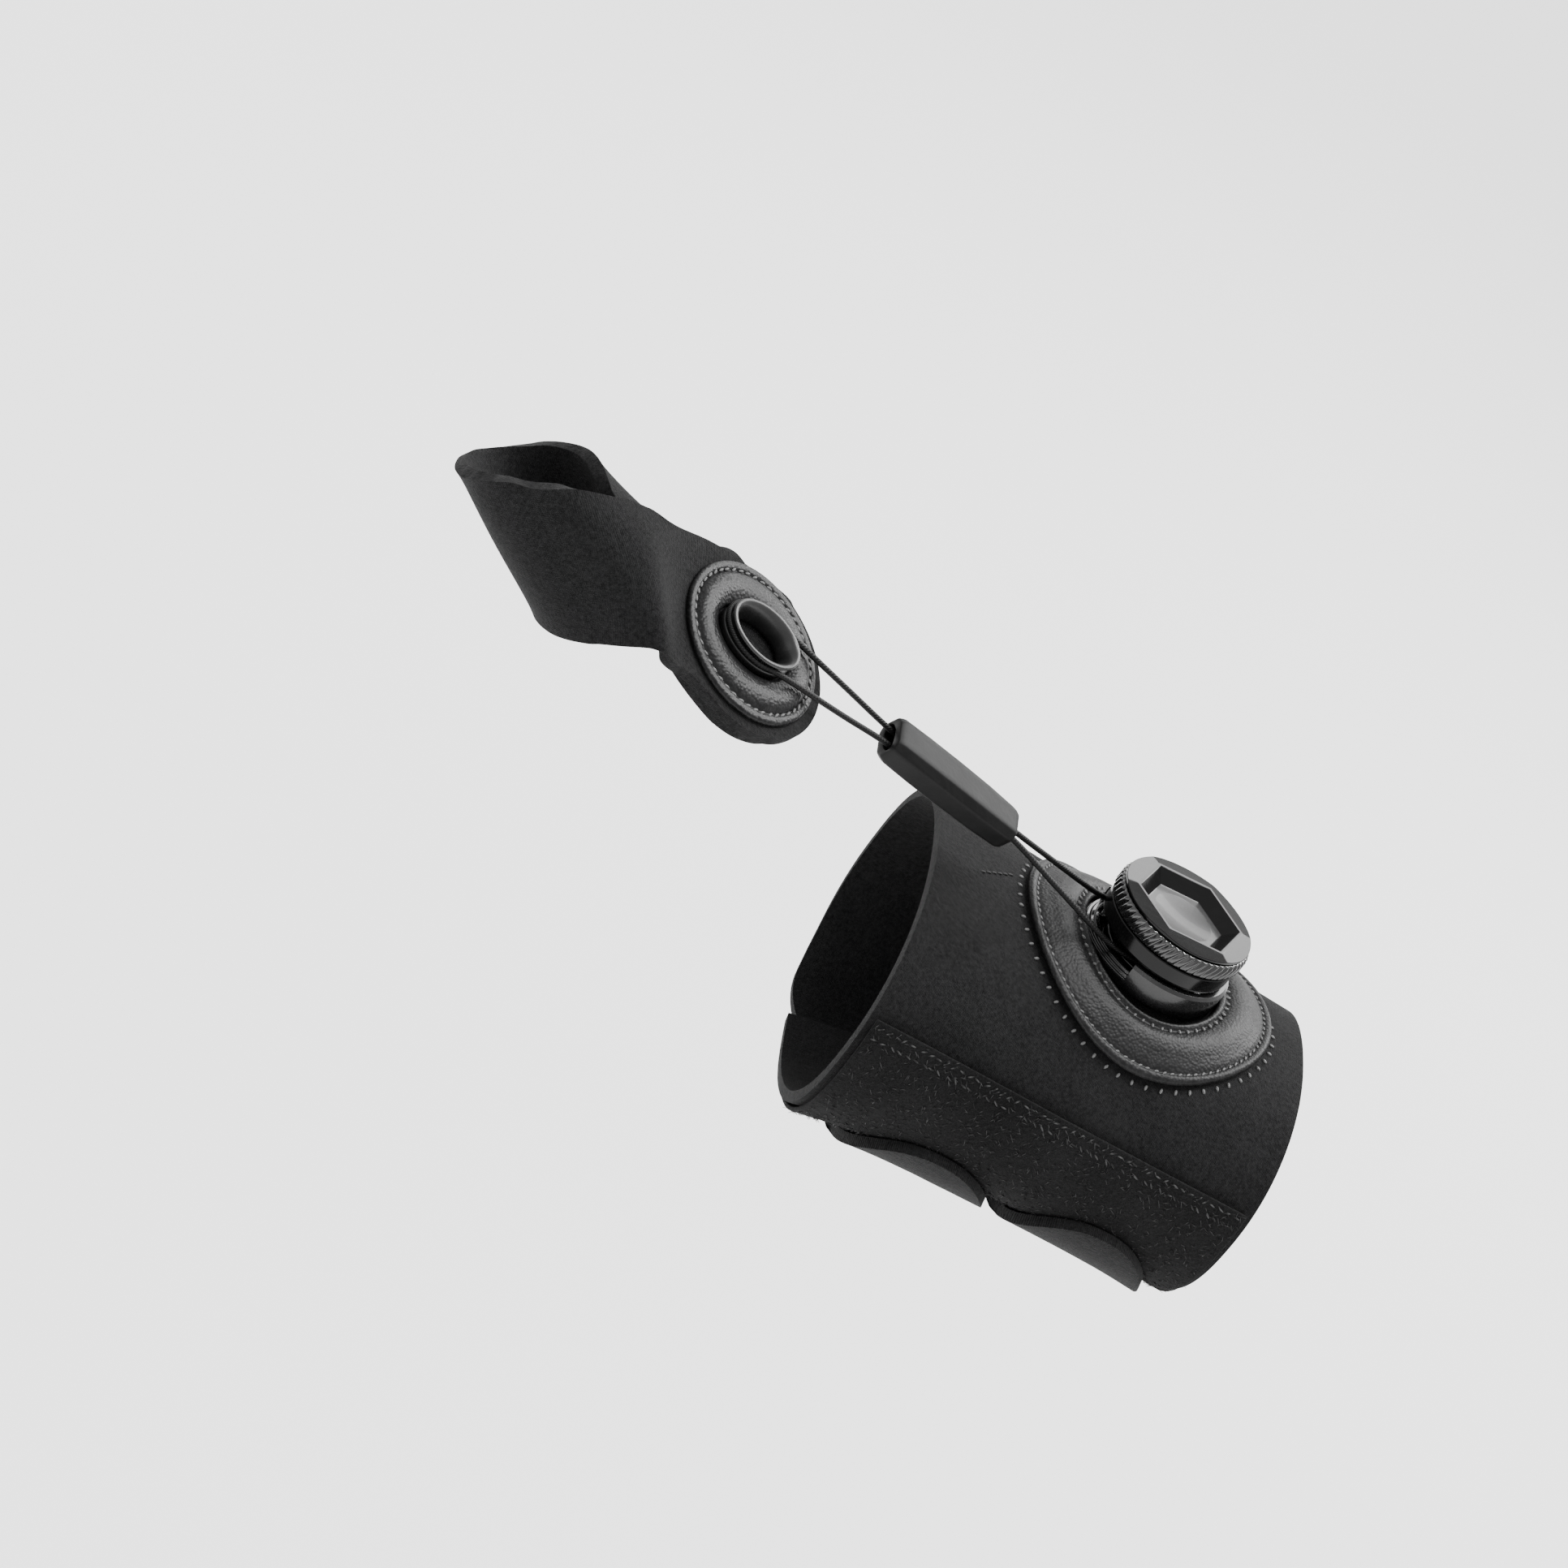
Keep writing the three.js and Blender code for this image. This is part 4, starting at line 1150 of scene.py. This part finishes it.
        # place along, share of the outer size, share of the bore
        rows = (
            (-1.0, 0.0, 1.0), (-1.0, 0.80, 0.0), (-0.985, 0.86, 0.0), (-0.94, 0.93, 0.0),
            (-0.9, 0.97, 0.0), (-0.5, 1.0, 0.0), (0.0, 1.0, 0.0), (0.5, 0.97, 0.0),
            (0.9, 0.90, 0.0), (0.94, 0.87, 0.0), (0.985, 0.80, 0.0), (1.0, 0.75, 0.0),
            (1.0, 0.0, 1.0), (0.4, 0.0, 1.0), (-0.4, 0.0, 1.0),
        )
        corner = 0.62

        def place(angle: float, row: int) -> Vector:
            """Point of the tube: eight-sided outside, with broad flats above and below.

            Args:
                angle: angle round it in radians.
                row: row of its profile.

            Returns:
                The point.
            """
            along, outer, bore = rows[row]
            x, y = math.cos(angle), math.sin(angle)
            half = self.spacer_bore if bore else self.spacer_half
            if not bore:
                reach = outer / max(abs(x), abs(y), (abs(x) + abs(y)) / (1 + corner))
                x, y = x * reach, y * reach
            return middle + self.pull * along * end + across * x * half[0] + up * y * half[1]

        spacer = Weaver.ring("lace_spacer_tube", 64, len(rows), place, (22.0, 60.0))
        soften(spacer, 0.18, 24)
        return finish_piece(spacer, Body.BRACE, "base_plastic", self.finishes.tube,
                            replaces=["lace_spacer"])


@dataclass
class Cuff:
    """The wrist cuff: its wrap, loop panel and their seams."""

    finishes: Finishes
    wrap_start: float = -100.0
    rise: tuple[float, float] = (215.0, 256.0)
    narrow: tuple[float, float] = (238.0, 288.0)
    margins: tuple[float, float] = (10.5, 4.5)
    tab_root: float = 288.0
    tab_tips: tuple[float, float] = (340.0, 345.0)
    notch: float = 1.2
    panel_turns: tuple[float, float] = (-94.0, 16.0)
    panel_inset: float = 1.2
    rows: int = 300
    tab_share: float = 0.13
    columns: int = 96
    wrap_length: float = 245.0
    panel_height: float = 58.0
    panel_grid: tuple[int, int] = (200, 160)
    pucker: float = 0.12
    tuft: float = 0.07
    # number of stray fibres, and each one's radius at both ends
    fibres: int = 2600
    fibre_radii: tuple[float, float] = (0.07, 0.03)
    # name, turn and slant of each row of the panel's seam
    seams: tuple[tuple[str, float, float], ...] = (
        ("panel_seam_edge", 13.6, 0.55),
        ("panel_seam_inner", 9.4, -0.45),
    )
    seam_count: int = 46
    seam_inset: float = 1.6
    # length and thickness of a seam's stitch
    seam_stitch: tuple[float, float] = (1.25, 0.3)
    # both ends of the tack, its number of stitches, and a stitch's length and thickness
    tack: tuple[tuple[float, float], ...] = ((-28.4, -2.8), (-23.0, 1.2))
    tack_count: int = 6
    tack_stitch: tuple[float, float] = (1.1, 0.45)

    @property
    def outer_layer(self) -> float:
        """Lift of the lapped flap over the hollow."""
        return NEOPRENE + LOOP_PILE + 2 * SEAM_GAP

    def tab_end(self, across: float) -> float:
        """Where the tabs end.

        Args:
            across: share across the flap.

        Returns:
            The turn that the tab there reaches.
        """
        side = 0 if across < 0.5 else 1
        half = 0.25 - self.notch / (2 * (WRIST.length - sum(self.margins)))
        middle = half if side == 0 else 1 - half
        offset = min(abs(across - middle) / half, 1.0)
        full = (1 - offset ** WRIST.exponent) ** (1 / WRIST.exponent)
        return self.tab_root + 1.5 + (self.tab_tips[side] - self.tab_root - 1.5) * full

    def build_wrap(self) -> None:
        """Neoprene once round the hollow, over itself, ending in two tabs."""
        crowd, crowd_turns = 0.92, (self.narrow[0], self.tab_root - 8)

        def place(u: float, v: float) -> Vector:
            """Point of the wrap's middle surface.

            Args:
                u: share of the way along the wrap.
                v: share across it; its columns close up toward the tabs' sides.

            Returns:
                The point.
            """
            near = 0.5 if v >= 0.5 else 0.0
            shift = near + 0.25 * (1 - math.cos(2 * math.pi * (v - near))) - v
            root, body = self.tab_root, 1 - self.tab_share
            if u < body:
                turn = self.wrap_start + (root - self.wrap_start) * u / body
            else:
                end = self.tab_end(v + shift * crowd)
                turn = root + (end - root) * (u - body) / self.tab_share
            v += shift * crowd * ease(turn, *crowd_turns)
            slim = ease(turn, *self.narrow)
            low = -WRIST.length / 2 + self.margins[0] * slim
            high = WRIST.length / 2 - self.margins[1] * slim
            lift = self.outer_layer * ease(turn, *self.rise) + NEOPRENE / 2
            at = WRIST.point(low + (high - low) * v, turn, lift)
            ripple = noise.noise(at * 0.09) * self.pucker
            return WRIST.point(low + (high - low) * v, turn, lift + max(ripple, 0.0))

        size = (self.wrap_length, WRIST.length)
        mesh = Weaver.bend(self.rows, self.columns, place, size)
        wrap = Weaver.keep("wrist_wrap_cloth", mesh)
        thicken(wrap, NEOPRENE, 0.8)
        finish_piece(wrap, Body.BRACE, "neoprene", self.finishes.neoprene,
                     replaces=["wrist_wrap"])

    @property
    def pile_top(self) -> float:
        """Lift of the pile's outer face over the hollow."""
        return NEOPRENE + SEAM_GAP + LOOP_PILE

    def build_panel(self) -> None:
        """Loop pile on the side that the tabs close on, its surface tufted."""
        half = WRIST.length / 2 - self.panel_inset
        low, high = self.panel_turns

        def place(u: float, v: float) -> Vector:
            """Point of the panel's middle surface.

            Args:
                u: share along the cuff.
                v: share of the way up the panel.

            Returns:
                The point.
            """
            x, turn = -half + 2 * half * u, low + (high - low) * v
            lift = self.pile_top - LOOP_PILE / 2
            at = WRIST.point(x, turn, lift)
            tuft = noise.fractal(at * 2.6, 0.6, 2.0, 3) * self.tuft
            return WRIST.point(x, turn, lift + tuft)

        mesh = Weaver.bend(*self.panel_grid, place, (2 * half, self.panel_height))
        panel = Weaver.keep("loop_panel_pile", mesh)
        thicken(panel, LOOP_PILE * 0.75, 0.2)
        finish_piece(panel, Body.BRACE, "loop_pile", self.finishes.pile,
                     replaces=["loop_panel"])

    def build_fuzz(self) -> None:
        """Stray fibres over the pile, lying almost flat."""
        chance = random.Random(7)
        half = WRIST.length / 2 - self.panel_inset
        low, high = self.panel_turns
        mesh = bmesh.new()
        for _ in range(self.fibres):
            x = chance.uniform(-half + 0.5, half - 0.5)
            turn = chance.uniform(low + 1, high - 1)
            at, out = WRIST.spot(x, turn, self.pile_top - 0.05)
            out.normalize()
            lean = Vector([chance.uniform(-1, 1) for _ in range(3)])
            flat = (lean - out * lean.dot(out)).normalized()
            along = (flat + out * chance.uniform(0.1, 0.5)).normalized()
            turned = along.to_track_quat("Z", "Y").to_matrix().to_4x4()
            long = chance.uniform(0.5, 1.3)
            turned.translation = (at + along * long * 0.3) * MM
            root, tip = self.fibre_radii
            bmesh.ops.create_cone(mesh, cap_ends=True, segments=3, radius1=root * MM,
                                  radius2=tip * MM, depth=long * MM, matrix=turned)
        fuzz = Weaver.keep("loop_panel_fuzz", mesh)
        finish_piece(fuzz, Body.BRACE, "loop_pile", self.finishes.fibre)

    def build_seams(self) -> None:
        """Two rows of slanting stitches along the panel's upper edge."""
        half = WRIST.length / 2 - self.panel_inset
        chance = random.Random(3)
        for name, turn, slant in self.seams:
            spots = []
            for k in range(self.seam_count):
                share = k / (self.seam_count - 1)
                x = (half - self.seam_inset) * (2 * share - 1) + chance.uniform(-0.4, 0.4)
                at, out = WRIST.spot(x, turn, self.pile_top - 0.12)
                up = WRIST.point(x, turn + 2, self.pile_top - 0.12)
                tilt = slant + chance.uniform(-0.9, 0.9)
                spots.append((at, Vector((1, 0, 0)) + (up - at).normalized() * tilt, out))
            row = Weaver.stitches(name, spots, *self.seam_stitch)
            finish_piece(row, Body.BRACE, "loop_pile", self.finishes.fibre)

    def build_tack(self) -> None:
        """Short bar of stitches on the back of the cuff, beside the patch."""
        spots = []
        for k in range(self.tack_count):
            x, y = (a + (b - a) * k / (self.tack_count - 1) for a, b in zip(*self.tack))
            at, out = WRIST.spot(x, WRIST.turn_over(x, y), NEOPRENE + 0.1)
            spots.append((at, Vector((1, 0.15, 0)), out))
        bar = Weaver.stitches("cuff_tack", spots, *self.tack_stitch)
        finish_piece(bar, Body.BRACE, "neoprene", self.finishes.fibre)

    def build(self) -> None:
        """Makes the cuff's pieces."""
        self.build_wrap()
        self.build_panel()
        self.build_fuzz()
        self.build_seams()
        self.build_tack()


@dataclass
class DialPatch:
    """The padded leatherette patch round the dial."""

    finishes: Finishes
    centre: float = 5.0
    half: tuple[float, float] = (25.0, 21.6)
    opening: float = 13.65
    # share from the opening to the edge, and puff over the leather's own thickness
    profile: tuple[tuple[float, float], ...] = (
        (0.0, 0.65),
        (0.02, 1.05),
        (0.055, 1.25),
        (0.09, 1.15),
        (0.12, 0.78),
        (0.145, 0.62),
        (0.17, 0.80),
        (0.22, 1.15),
        (0.34, 1.5),
        (0.5, 1.35),
        (0.66, 0.8),
        (0.78, 0.35),
        (0.835, 0.0),
        (0.855, -0.15),
        (0.875, 0.15),
        (0.93, 0.35),
        (0.975, 0.2),
        (1.0, -0.3),
    )

    def surface(self, angle: float, span: float) -> Vector:
        """Point of the patch's upper face.

        Args:
            angle: angle round the dial in radians.
            span: share from the opening to the edge.

        Returns:
            The point.
        """
        x, y, _ = self.plan(angle, span)
        top = WRIST.point(x, WRIST.turn_over(x, y), NEOPRENE + SEAM_GAP + LEATHER)
        return top + Vector((0, 0, column(self.profile, 1, span)))

    def plan(self, angle: float, span: float) -> tuple[float, float, float]:
        """Place of a point of the patch, seen from above.

        Args:
            angle: angle round the dial in radians.
            span: share from the opening to the edge.

        Returns:
            Its places along and across the cuff, and its radius.
        """
        across = (math.cos(angle), math.sin(angle))
        edge = 1 / math.hypot(across[0] / self.half[0], across[1] / self.half[1])
        radius = self.opening + (edge - self.opening) * span
        return self.centre + radius * across[0], radius * across[1], radius

    def build_pad(self) -> None:
        """Padded ring: stitched band, dome, groove and rolled collar."""
        top_steps, under_steps = 48, 10
        total = top_steps + under_steps

        def place(angle: float, row: int) -> Vector:
            """Point of the pad.

            Args:
                angle: angle round the dial in radians.
                row: row of the profile, in over the top and out underneath.

            Returns:
                The point.
            """
            if row <= top_steps:
                return self.surface(angle, 1 - row / top_steps)
            span = (row - top_steps) / under_steps
            x, y, _ = self.plan(angle, span)
            return WRIST.point(x, WRIST.turn_over(x, y), NEOPRENE + SEAM_GAP)

        pad = Weaver.ring("dial_patch_pad", 240, total, place, (130.0, 26.0))
        finish_piece(pad, Body.BRACE, "patch_leather", self.finishes.leather,
                     replaces=["dial_patch"])

    def row(self, span: float, raise_by: float) -> Callable[[float], Spot]:
        """Lays out a row of stitches on the patch.

        Args:
            span: share from the opening to the edge.
            raise_by: height of the stitches over the face.

        Returns:
            A function that gives the point and the normal for a share of the row.
        """
        def place(share: float) -> Spot:
            """Point and normal of the row.

            Args:
                share: share of the way round.

            Returns:
                Both.
            """
            angle = 2 * math.pi * share
            at = self.surface(angle, span)
            one = self.surface(angle + 0.02, span) - at
            two = self.surface(angle, span + 0.01) - at
            normal = two.cross(one).normalized()
            if normal.z < 0:
                normal.negate()
            return at + normal * raise_by, normal
        return place

    def outer_row(self, share: float) -> Spot:
        """Point on the cuff for the row just outside the patch.

        Args:
            share: share of the way round.

        Returns:
            The point and the outward direction.
        """
        angle = 2 * math.pi * share
        x, y, radius = self.plan(angle, 1.0)
        out = (radius + 1.0) / radius
        x, y = self.centre + (x - self.centre) * out, y * out
        return WRIST.spot(x, WRIST.turn_over(x, y), NEOPRENE + 0.12)

    def build(self) -> None:
        """Makes the pad and its three rows of stitches."""
        self.build_pad()
        # name, places, pitch, slant, length and thickness of the stitches
        for name, places, pitch, slant, length, thick in (
            ("patch_seam_edge", self.row(0.85, 0.12), 1.5, 28, 1.0, 0.46),
            ("patch_seam_collar", self.row(0.145, 0.14), 1.8, 76, 1.25, 0.55),
            ("patch_seam_outer", self.outer_row, 2.7, 82, 1.05, 0.55),
        ):
            row = Weaver.stitches(name, spaced(places, pitch, slant), length, thick)
            finish_piece(row, Body.BRACE, "patch_leather", self.finishes.thread)


@dataclass
class Dial:
    """The dial: base, spool, knob and grip."""

    finishes: Finishes
    centre: tuple[float, float] = (5.0, 0.0)
    seat: float = 25.83
    knob_radius: float = 12.5
    knob_bottom: float = 3.8
    grip_bottom: float = 7.2
    grip_top: float = 10.4
    grip_radius: float = 12.9
    grip_wall: float = 1.3
    ribs: int = 60
    rib_depth: float = 0.45
    crown_top: float = 11.5
    crown_low: float = 11.05
    recess: float = 10.0
    floor: float = 7.6
    depth: float = 2.2
    dish: tuple[float, float] = (5.6, 0.6)
    cavity: tuple[float, float] = (4.9, 7.4)
    phase: float = 7.0
    steps: int = 192

    def local(self, angle: float) -> float:
        """Angle in radians from the middle of the side of the hexagon."""
        return (angle - math.radians(self.phase)) % (math.pi / 3) - math.pi / 6

    def hexagon(self, angle: float, corner: float) -> float:
        """Radius of a hexagon with its corner radius, at an angle in radians."""
        return corner * math.cos(math.pi / 6) / math.cos(self.local(angle))

    def at(self, angle: float, radius: float, height: float) -> Vector:
        """Point of the dial, height over its flange."""
        return Vector((self.centre[0] + radius * math.cos(angle),
                       self.centre[1] + radius * math.sin(angle), self.seat + height))

    def knob_rings(self, angle: float) -> list[tuple[float, float]]:
        """Lays out the knob's rings at an angle.

        Args:
            angle: angle round the knob in radians.

        Returns:
            Radius and height of each, from its hollow to its dish.
        """
        lip = self.recess + 0.6
        top_hex = self.hexagon(angle, lip)
        rim = self.knob_radius - 0.1
        apothem_low, apothem_top = self.knob_radius, lip * math.cos(math.pi / 6)
        side = rim * math.cos(self.local(angle))
        slope = (apothem_low - side) / (apothem_low - apothem_top)
        rim_top = self.crown_low + (self.crown_top - self.crown_low) * slope
        neck = self.grip_radius - self.grip_wall - SEAM_GAP
        floor = self.crown_top - self.depth
        return [
            (0.0, self.cavity[1]), (self.cavity[0], self.cavity[1]),
            (self.cavity[0], self.knob_bottom), (self.knob_radius - 0.6, self.knob_bottom),
            (self.knob_radius - 0.15, self.knob_bottom + 0.12),
            (self.knob_radius, self.knob_bottom + 0.5),
            (self.knob_radius, self.grip_bottom - SEAM_GAP - 0.15),
            (self.knob_radius - 0.15, self.grip_bottom - SEAM_GAP),
            (neck, self.grip_bottom - SEAM_GAP), (neck, self.grip_top + SEAM_GAP),
            (rim - 0.12, self.grip_top + SEAM_GAP), (rim, self.grip_top + SEAM_GAP + 0.12),
            (rim, rim_top - 0.08), (rim - 0.08, rim_top + 0.01),
            (top_hex + 0.06, self.crown_top - 0.02), (top_hex - 0.06, self.crown_top),
            (self.hexagon(angle, self.recess) + 0.05, self.crown_top),
            (self.hexagon(angle, self.recess) - 0.07, self.crown_top - 0.07),
            (self.hexagon(angle, self.floor) + 0.08, floor + 0.08),
            (self.hexagon(angle, self.floor) - 0.08, floor),
            (self.dish[0], floor), (self.dish[0] * 0.9, floor - self.dish[1] * 0.19),
            (self.dish[0] * 0.6, floor - self.dish[1] * 0.64),
            (self.dish[0] * 0.3, floor - self.dish[1] * 0.91), (0.0, floor - self.dish[1]),
        ]

    def build_knob(self) -> None:
        """Glossy knob with a faceted crown round a six-sided recess."""
        count = len(self.knob_rings(0.0))

        def place(u: float, v: float) -> Vector:
            """Point of the knob.

            Args:
                u: share of the way round.
                v: share of the way along its rings.

            Returns:
                The point.
            """
            angle = math.radians(self.phase) + 2 * math.pi * (u % 1.0)
            radius, height = self.knob_rings(angle)[round(v * (count - 1))]
            return self.at(angle, radius, height)

        mesh = Weaver.bend(self.steps, count - 1, place, (80.0, 60.0))
        Weaver.close(mesh, 5e-6)
        crease(mesh, 9)
        # Faces of the recess floor take the paler plastic, whose paler colour is painted
        # reflection.
        reach = self.floor * math.cos(math.pi / 6) + 1.2
        for face in mesh.faces:
            middle = face.calc_center_median() / MM
            if self.cavity[1] + 0.6 < middle.z - self.seat < self.crown_top - self.depth + 0.1:
                face.material_index = int(math.dist(middle.xy, self.centre) < reach)
        knob = Weaver.keep("dial_knob_cap", mesh)
        finish_piece(knob, Body.KNOB, "knob_plastic", self.finishes.gloss, self.finishes.recess,
                     replaces=["dial_knob"])

    def build_grip(self) -> None:
        """Ring of slanted, rounded ribs."""
        inner = self.grip_radius - self.grip_wall
        height = self.grip_top - self.grip_bottom
        shoulder = self.grip_radius - self.rib_depth
        # share of the height, and share of the rib's depth; the last rows are the inner wall
        rows = ((0.0, 0.0), (0.08, 0.55), (0.18, 1.0), (0.5, 1.0), (0.82, 1.0), (0.92, 0.55),
                (1.0, 0.0), (1.0, None), (0.0, None))

        def place(angle: float, row: int) -> Vector:
            """Point of the grip.

            Args:
                angle: angle round it in radians.
                row: row of its profile.

            Returns:
                The point.
            """
            share, rib = rows[row]
            wave = 0.5 + 0.5 * math.cos(angle * self.ribs)
            radius = inner if rib is None else shoulder + self.rib_depth * rib * wave ** 0.6
            turn = angle + 2 * math.pi / self.ribs * share
            return self.at(turn, radius, self.grip_bottom + height * share)

        grip = Weaver.ring("knob_grip_ribs", self.ribs * 10, len(rows), place, (80.0, 9.0))
        finish_piece(grip, Body.KNOB, "grip_plastic", self.finishes.grip, replaces=["knob_grip"])

    def build_sill(self) -> None:
        """Stepped sill of the base, where the lace comes in."""
        rows = ((13.42, 0.0), (13.42, 0.28), (12.85, 0.34), (12.8, 0.72), (12.2, 0.78),
                (12.15, 1.14), (11.5, 1.2), (11.3, 1.1), (11.3, 0.0))
        start, spread = math.radians(138), math.radians(112)

        def place(u: float, v: float) -> Vector:
            """Point of the sill for a share of its length and of its profile."""
            radius, height = rows[round(v * len(rows)) % len(rows)]
            return self.at(start + spread * u, radius, height)

        mesh = Weaver.close(Weaver.bend(96, len(rows), place, (24.0, 6.0)))
        crease(mesh, 30)
        sill = Weaver.keep("base_sill", mesh)
        soften(sill, 0.1, 30)
        finish_piece(sill, Body.BRACE, "base_plastic", self.finishes.satin)

    def build(self) -> None:
        """Makes the dial's pieces."""
        carried("dial_base", Body.BRACE, "base_plastic", self.finishes.satin)
        carried("lace_spool", Body.SPOOL, "spool_plastic", self.finishes.satin)
        self.build_knob()
        self.build_grip()
        self.build_sill()


@dataclass
class Sling:
    """The finger sling and the stitched disc on its pad."""

    finishes: Finishes
    lacing: Lacing
    disc_radius: float = 14.0
    disc_margin: float = 1.0
    pad_setback: float = 0.8
    pad_step: float = 1.0
    lift_turns: tuple[float, float] = (366.0, 402.0)
    smoothing: int = 40
    strap_grid: tuple[int, int] = (300, 40)
    strap_flat: tuple[float, float] = (185.0, 29.0)
    # angles in degrees of the rows of a round end
    end_angles: tuple[int, ...] = (89, 83, 75, 65, 52, 40, 27, 14, 0)
    # reach and turn of the tip's edge, then of the edge toward the cuff
    rows: tuple[tuple[float, float, float, float], ...] = (
        (0.12, 57, 0.05, 127),
        (0.3, 64, 0.13, 131),
        (0.5, 74, 0.21, 140),
        (0.67, 86, 0.29, 152),
        (0.745, 112, 0.37, 175),
        (0.8, 150, 0.42, 200),
        (0.87, 190, 0.45, 222),
        (0.94, 230, 0.475, 245),
        (1, 270, 0.49, 270),
        (1, 312, 0.47, 303),
        (0.958, 351, 0.43, 328),
        (0.885, 377, 0.395, 346),
        (0.818, 402, 0.351, 364),
        (0.693, 429, 0.277, 394),
        (0.612, 445, 0.216, 406),
        (0.45, 463, 0.147, 412),
        (0.25, 477, 0.07, 413),
    )

    def edges(self) -> list[tuple[float, float, float, float]]:
        """Lays out both edges of the sling from round end to round end.

        Returns:
            Reach and turn of the tip's edge and of the edge toward the cuff, for each row.
        """
        def end(radius: float, turn: float, side: int) -> list[tuple[float, float, float, float]]:
            """Rows of a round end.

            Args:
                radius: its radius.
                turn: turn of its middle.
                side: 1 where the tip's edge has the lower turn, else -1.

            Returns:
                The rows from its tip.
            """
            spots = []
            for degrees in self.end_angles:
                angle = math.radians(degrees)
                reach = -self.pad_setback - radius * math.sin(angle)
                half = math.degrees(radius * math.cos(angle) / LIMB.pad_arc)
                spots.append((reach, turn - side * half, reach, turn + side * half))
            return spots

        middle = [(a * LIMB.reach, b, c * LIMB.reach, d) for a, b, c, d in self.rows]
        under = end(LIMB.pad_radius - self.pad_step, LIMB.pad_turn, 1)
        over = end(LIMB.pad_radius, LIMB.pad_turn + 360, -1)
        return [*under, *middle, *reversed(over)]

    def build_strap(self) -> None:
        """Neoprene from under the pad, once round the hollow and back over the pad."""
        rows = self.edges()
        layer = NEOPRENE + SEAM_GAP

        def place(u: float, v: float) -> Vector:
            """Point of the strap's middle surface.

            Args:
                u: share of the way along the strap.
                v: share across it.

            Returns:
                The point.
            """
            a, b, c, d = spline(rows, u)
            reach, turn = a + (c - a) * v, b + (d - b) * v
            lift = layer * ease(turn, *self.lift_turns) + NEOPRENE / 2
            return LIMB.point(reach, turn, lift)

        mesh = Weaver.bend(*self.strap_grid, place, self.strap_flat)
        inner = [vert for vert in mesh.verts if not vert.is_boundary]
        for _ in range(self.smoothing):
            bmesh.ops.smooth_vert(mesh, verts=inner, factor=0.5, use_axis_x=True,
                                  use_axis_y=True, use_axis_z=True)
        strap = Weaver.keep("finger_strap_cloth", mesh)
        thicken(strap, NEOPRENE, 0.7)
        finish_piece(strap, Body.BRACE, "neoprene", self.finishes.neoprene,
                     replaces=["finger_strap"])

    def disc_point(self, angle: float, span: float, rise: float) -> Vector:
        """Point of the disc.

        Args:
            angle: angle round it in radians.
            span: share from the guide's opening to the edge.
            rise: height over its seat.

        Returns:
            The point.
        """
        along, across, _ = LIMB.pad_axes
        pull = math.atan2(self.lacing.pull.dot(across), self.lacing.pull.dot(along))
        hole = [half + SEAM_GAP for half in self.lacing.guide_half]
        inner = 1 / math.hypot(math.cos(angle - pull) / hole[0], math.sin(angle - pull) / hole[1])
        radius = inner + (self.disc_radius - inner) * span
        turn = LIMB.pad_turn - math.degrees(radius * math.sin(angle) / LIMB.pad_arc)
        return LIMB.point(radius * math.cos(angle), turn, self.lacing.disc_lift + rise)

    def build_disc(self) -> None:
        """Leather disc: rounded margin, stitched groove, dome and rolled opening."""
        top = self.disc_margin
        # span and rise, from the edge to the opening, then back underneath
        profile = (
            (1.0, 0.1), (1.0, 0.45), (0.985, 0.75), (0.95, 0.95), (0.90, top), (0.85, top),
            (0.81, 0.9), (0.78, 0.55), (0.75, 0.7), (0.70, 1.25), (0.62, 1.62), (0.52, 1.84),
            (0.42, 1.9), (0.32, 1.86), (0.22, 1.7), (0.13, 1.4), (0.06, 1.15), (0.01, 0.85),
            (0.0, 0.5), (0.0, 0.0), (0.3, 0.0), (0.6, 0.0), (0.9, 0.0), (0.985, 0.0),
        )

        def place(angle: float, row: int) -> Vector:
            """Point of the disc at an angle and a row of its profile."""
            return self.disc_point(angle, *profile[row])

        disc = Weaver.ring("anchor_patch_disc", 144, len(profile), place, (88.0, 18.0))
        fine = disc.modifiers.new("smooth", "SUBSURF")
        fine.levels = fine.render_levels = 1
        finish_piece(disc, Body.BRACE, "patch_leather", self.finishes.disc,
                     replaces=["anchor_patch"])

        def row(share: float) -> Spot:
            """Point and outward direction of the seam for a share of the way round."""
            low, high = (self.disc_point(2 * math.pi * share, 0.79, rise) for rise in (0.75, 1.75))
            return low, high - low

        seam = Weaver.stitches("disc_seam", spaced(row, 1.6, 18), 1.25, 0.5)
        finish_piece(seam, Body.BRACE, "patch_leather", self.finishes.thread)

    def build(self) -> None:
        """Makes the sling and its disc."""
        self.build_strap()
        self.build_disc()


def main() -> None:
    """Builds the studio and every piece in order."""
    logging.basicConfig(level=logging.INFO, format="%(name)s %(message)s")
    studio = Studio()
    studio.build()
    finishes = Finishes()
    lacing = Lacing(finishes)
    lacing.build_lace(lacing.build_spacer())
    lacing.build_guide()
    Sling(finishes, lacing).build()
    Cuff(finishes).build()
    DialPatch(finishes).build()
    Dial(finishes).build()


if __name__ == "__main__":
    main()
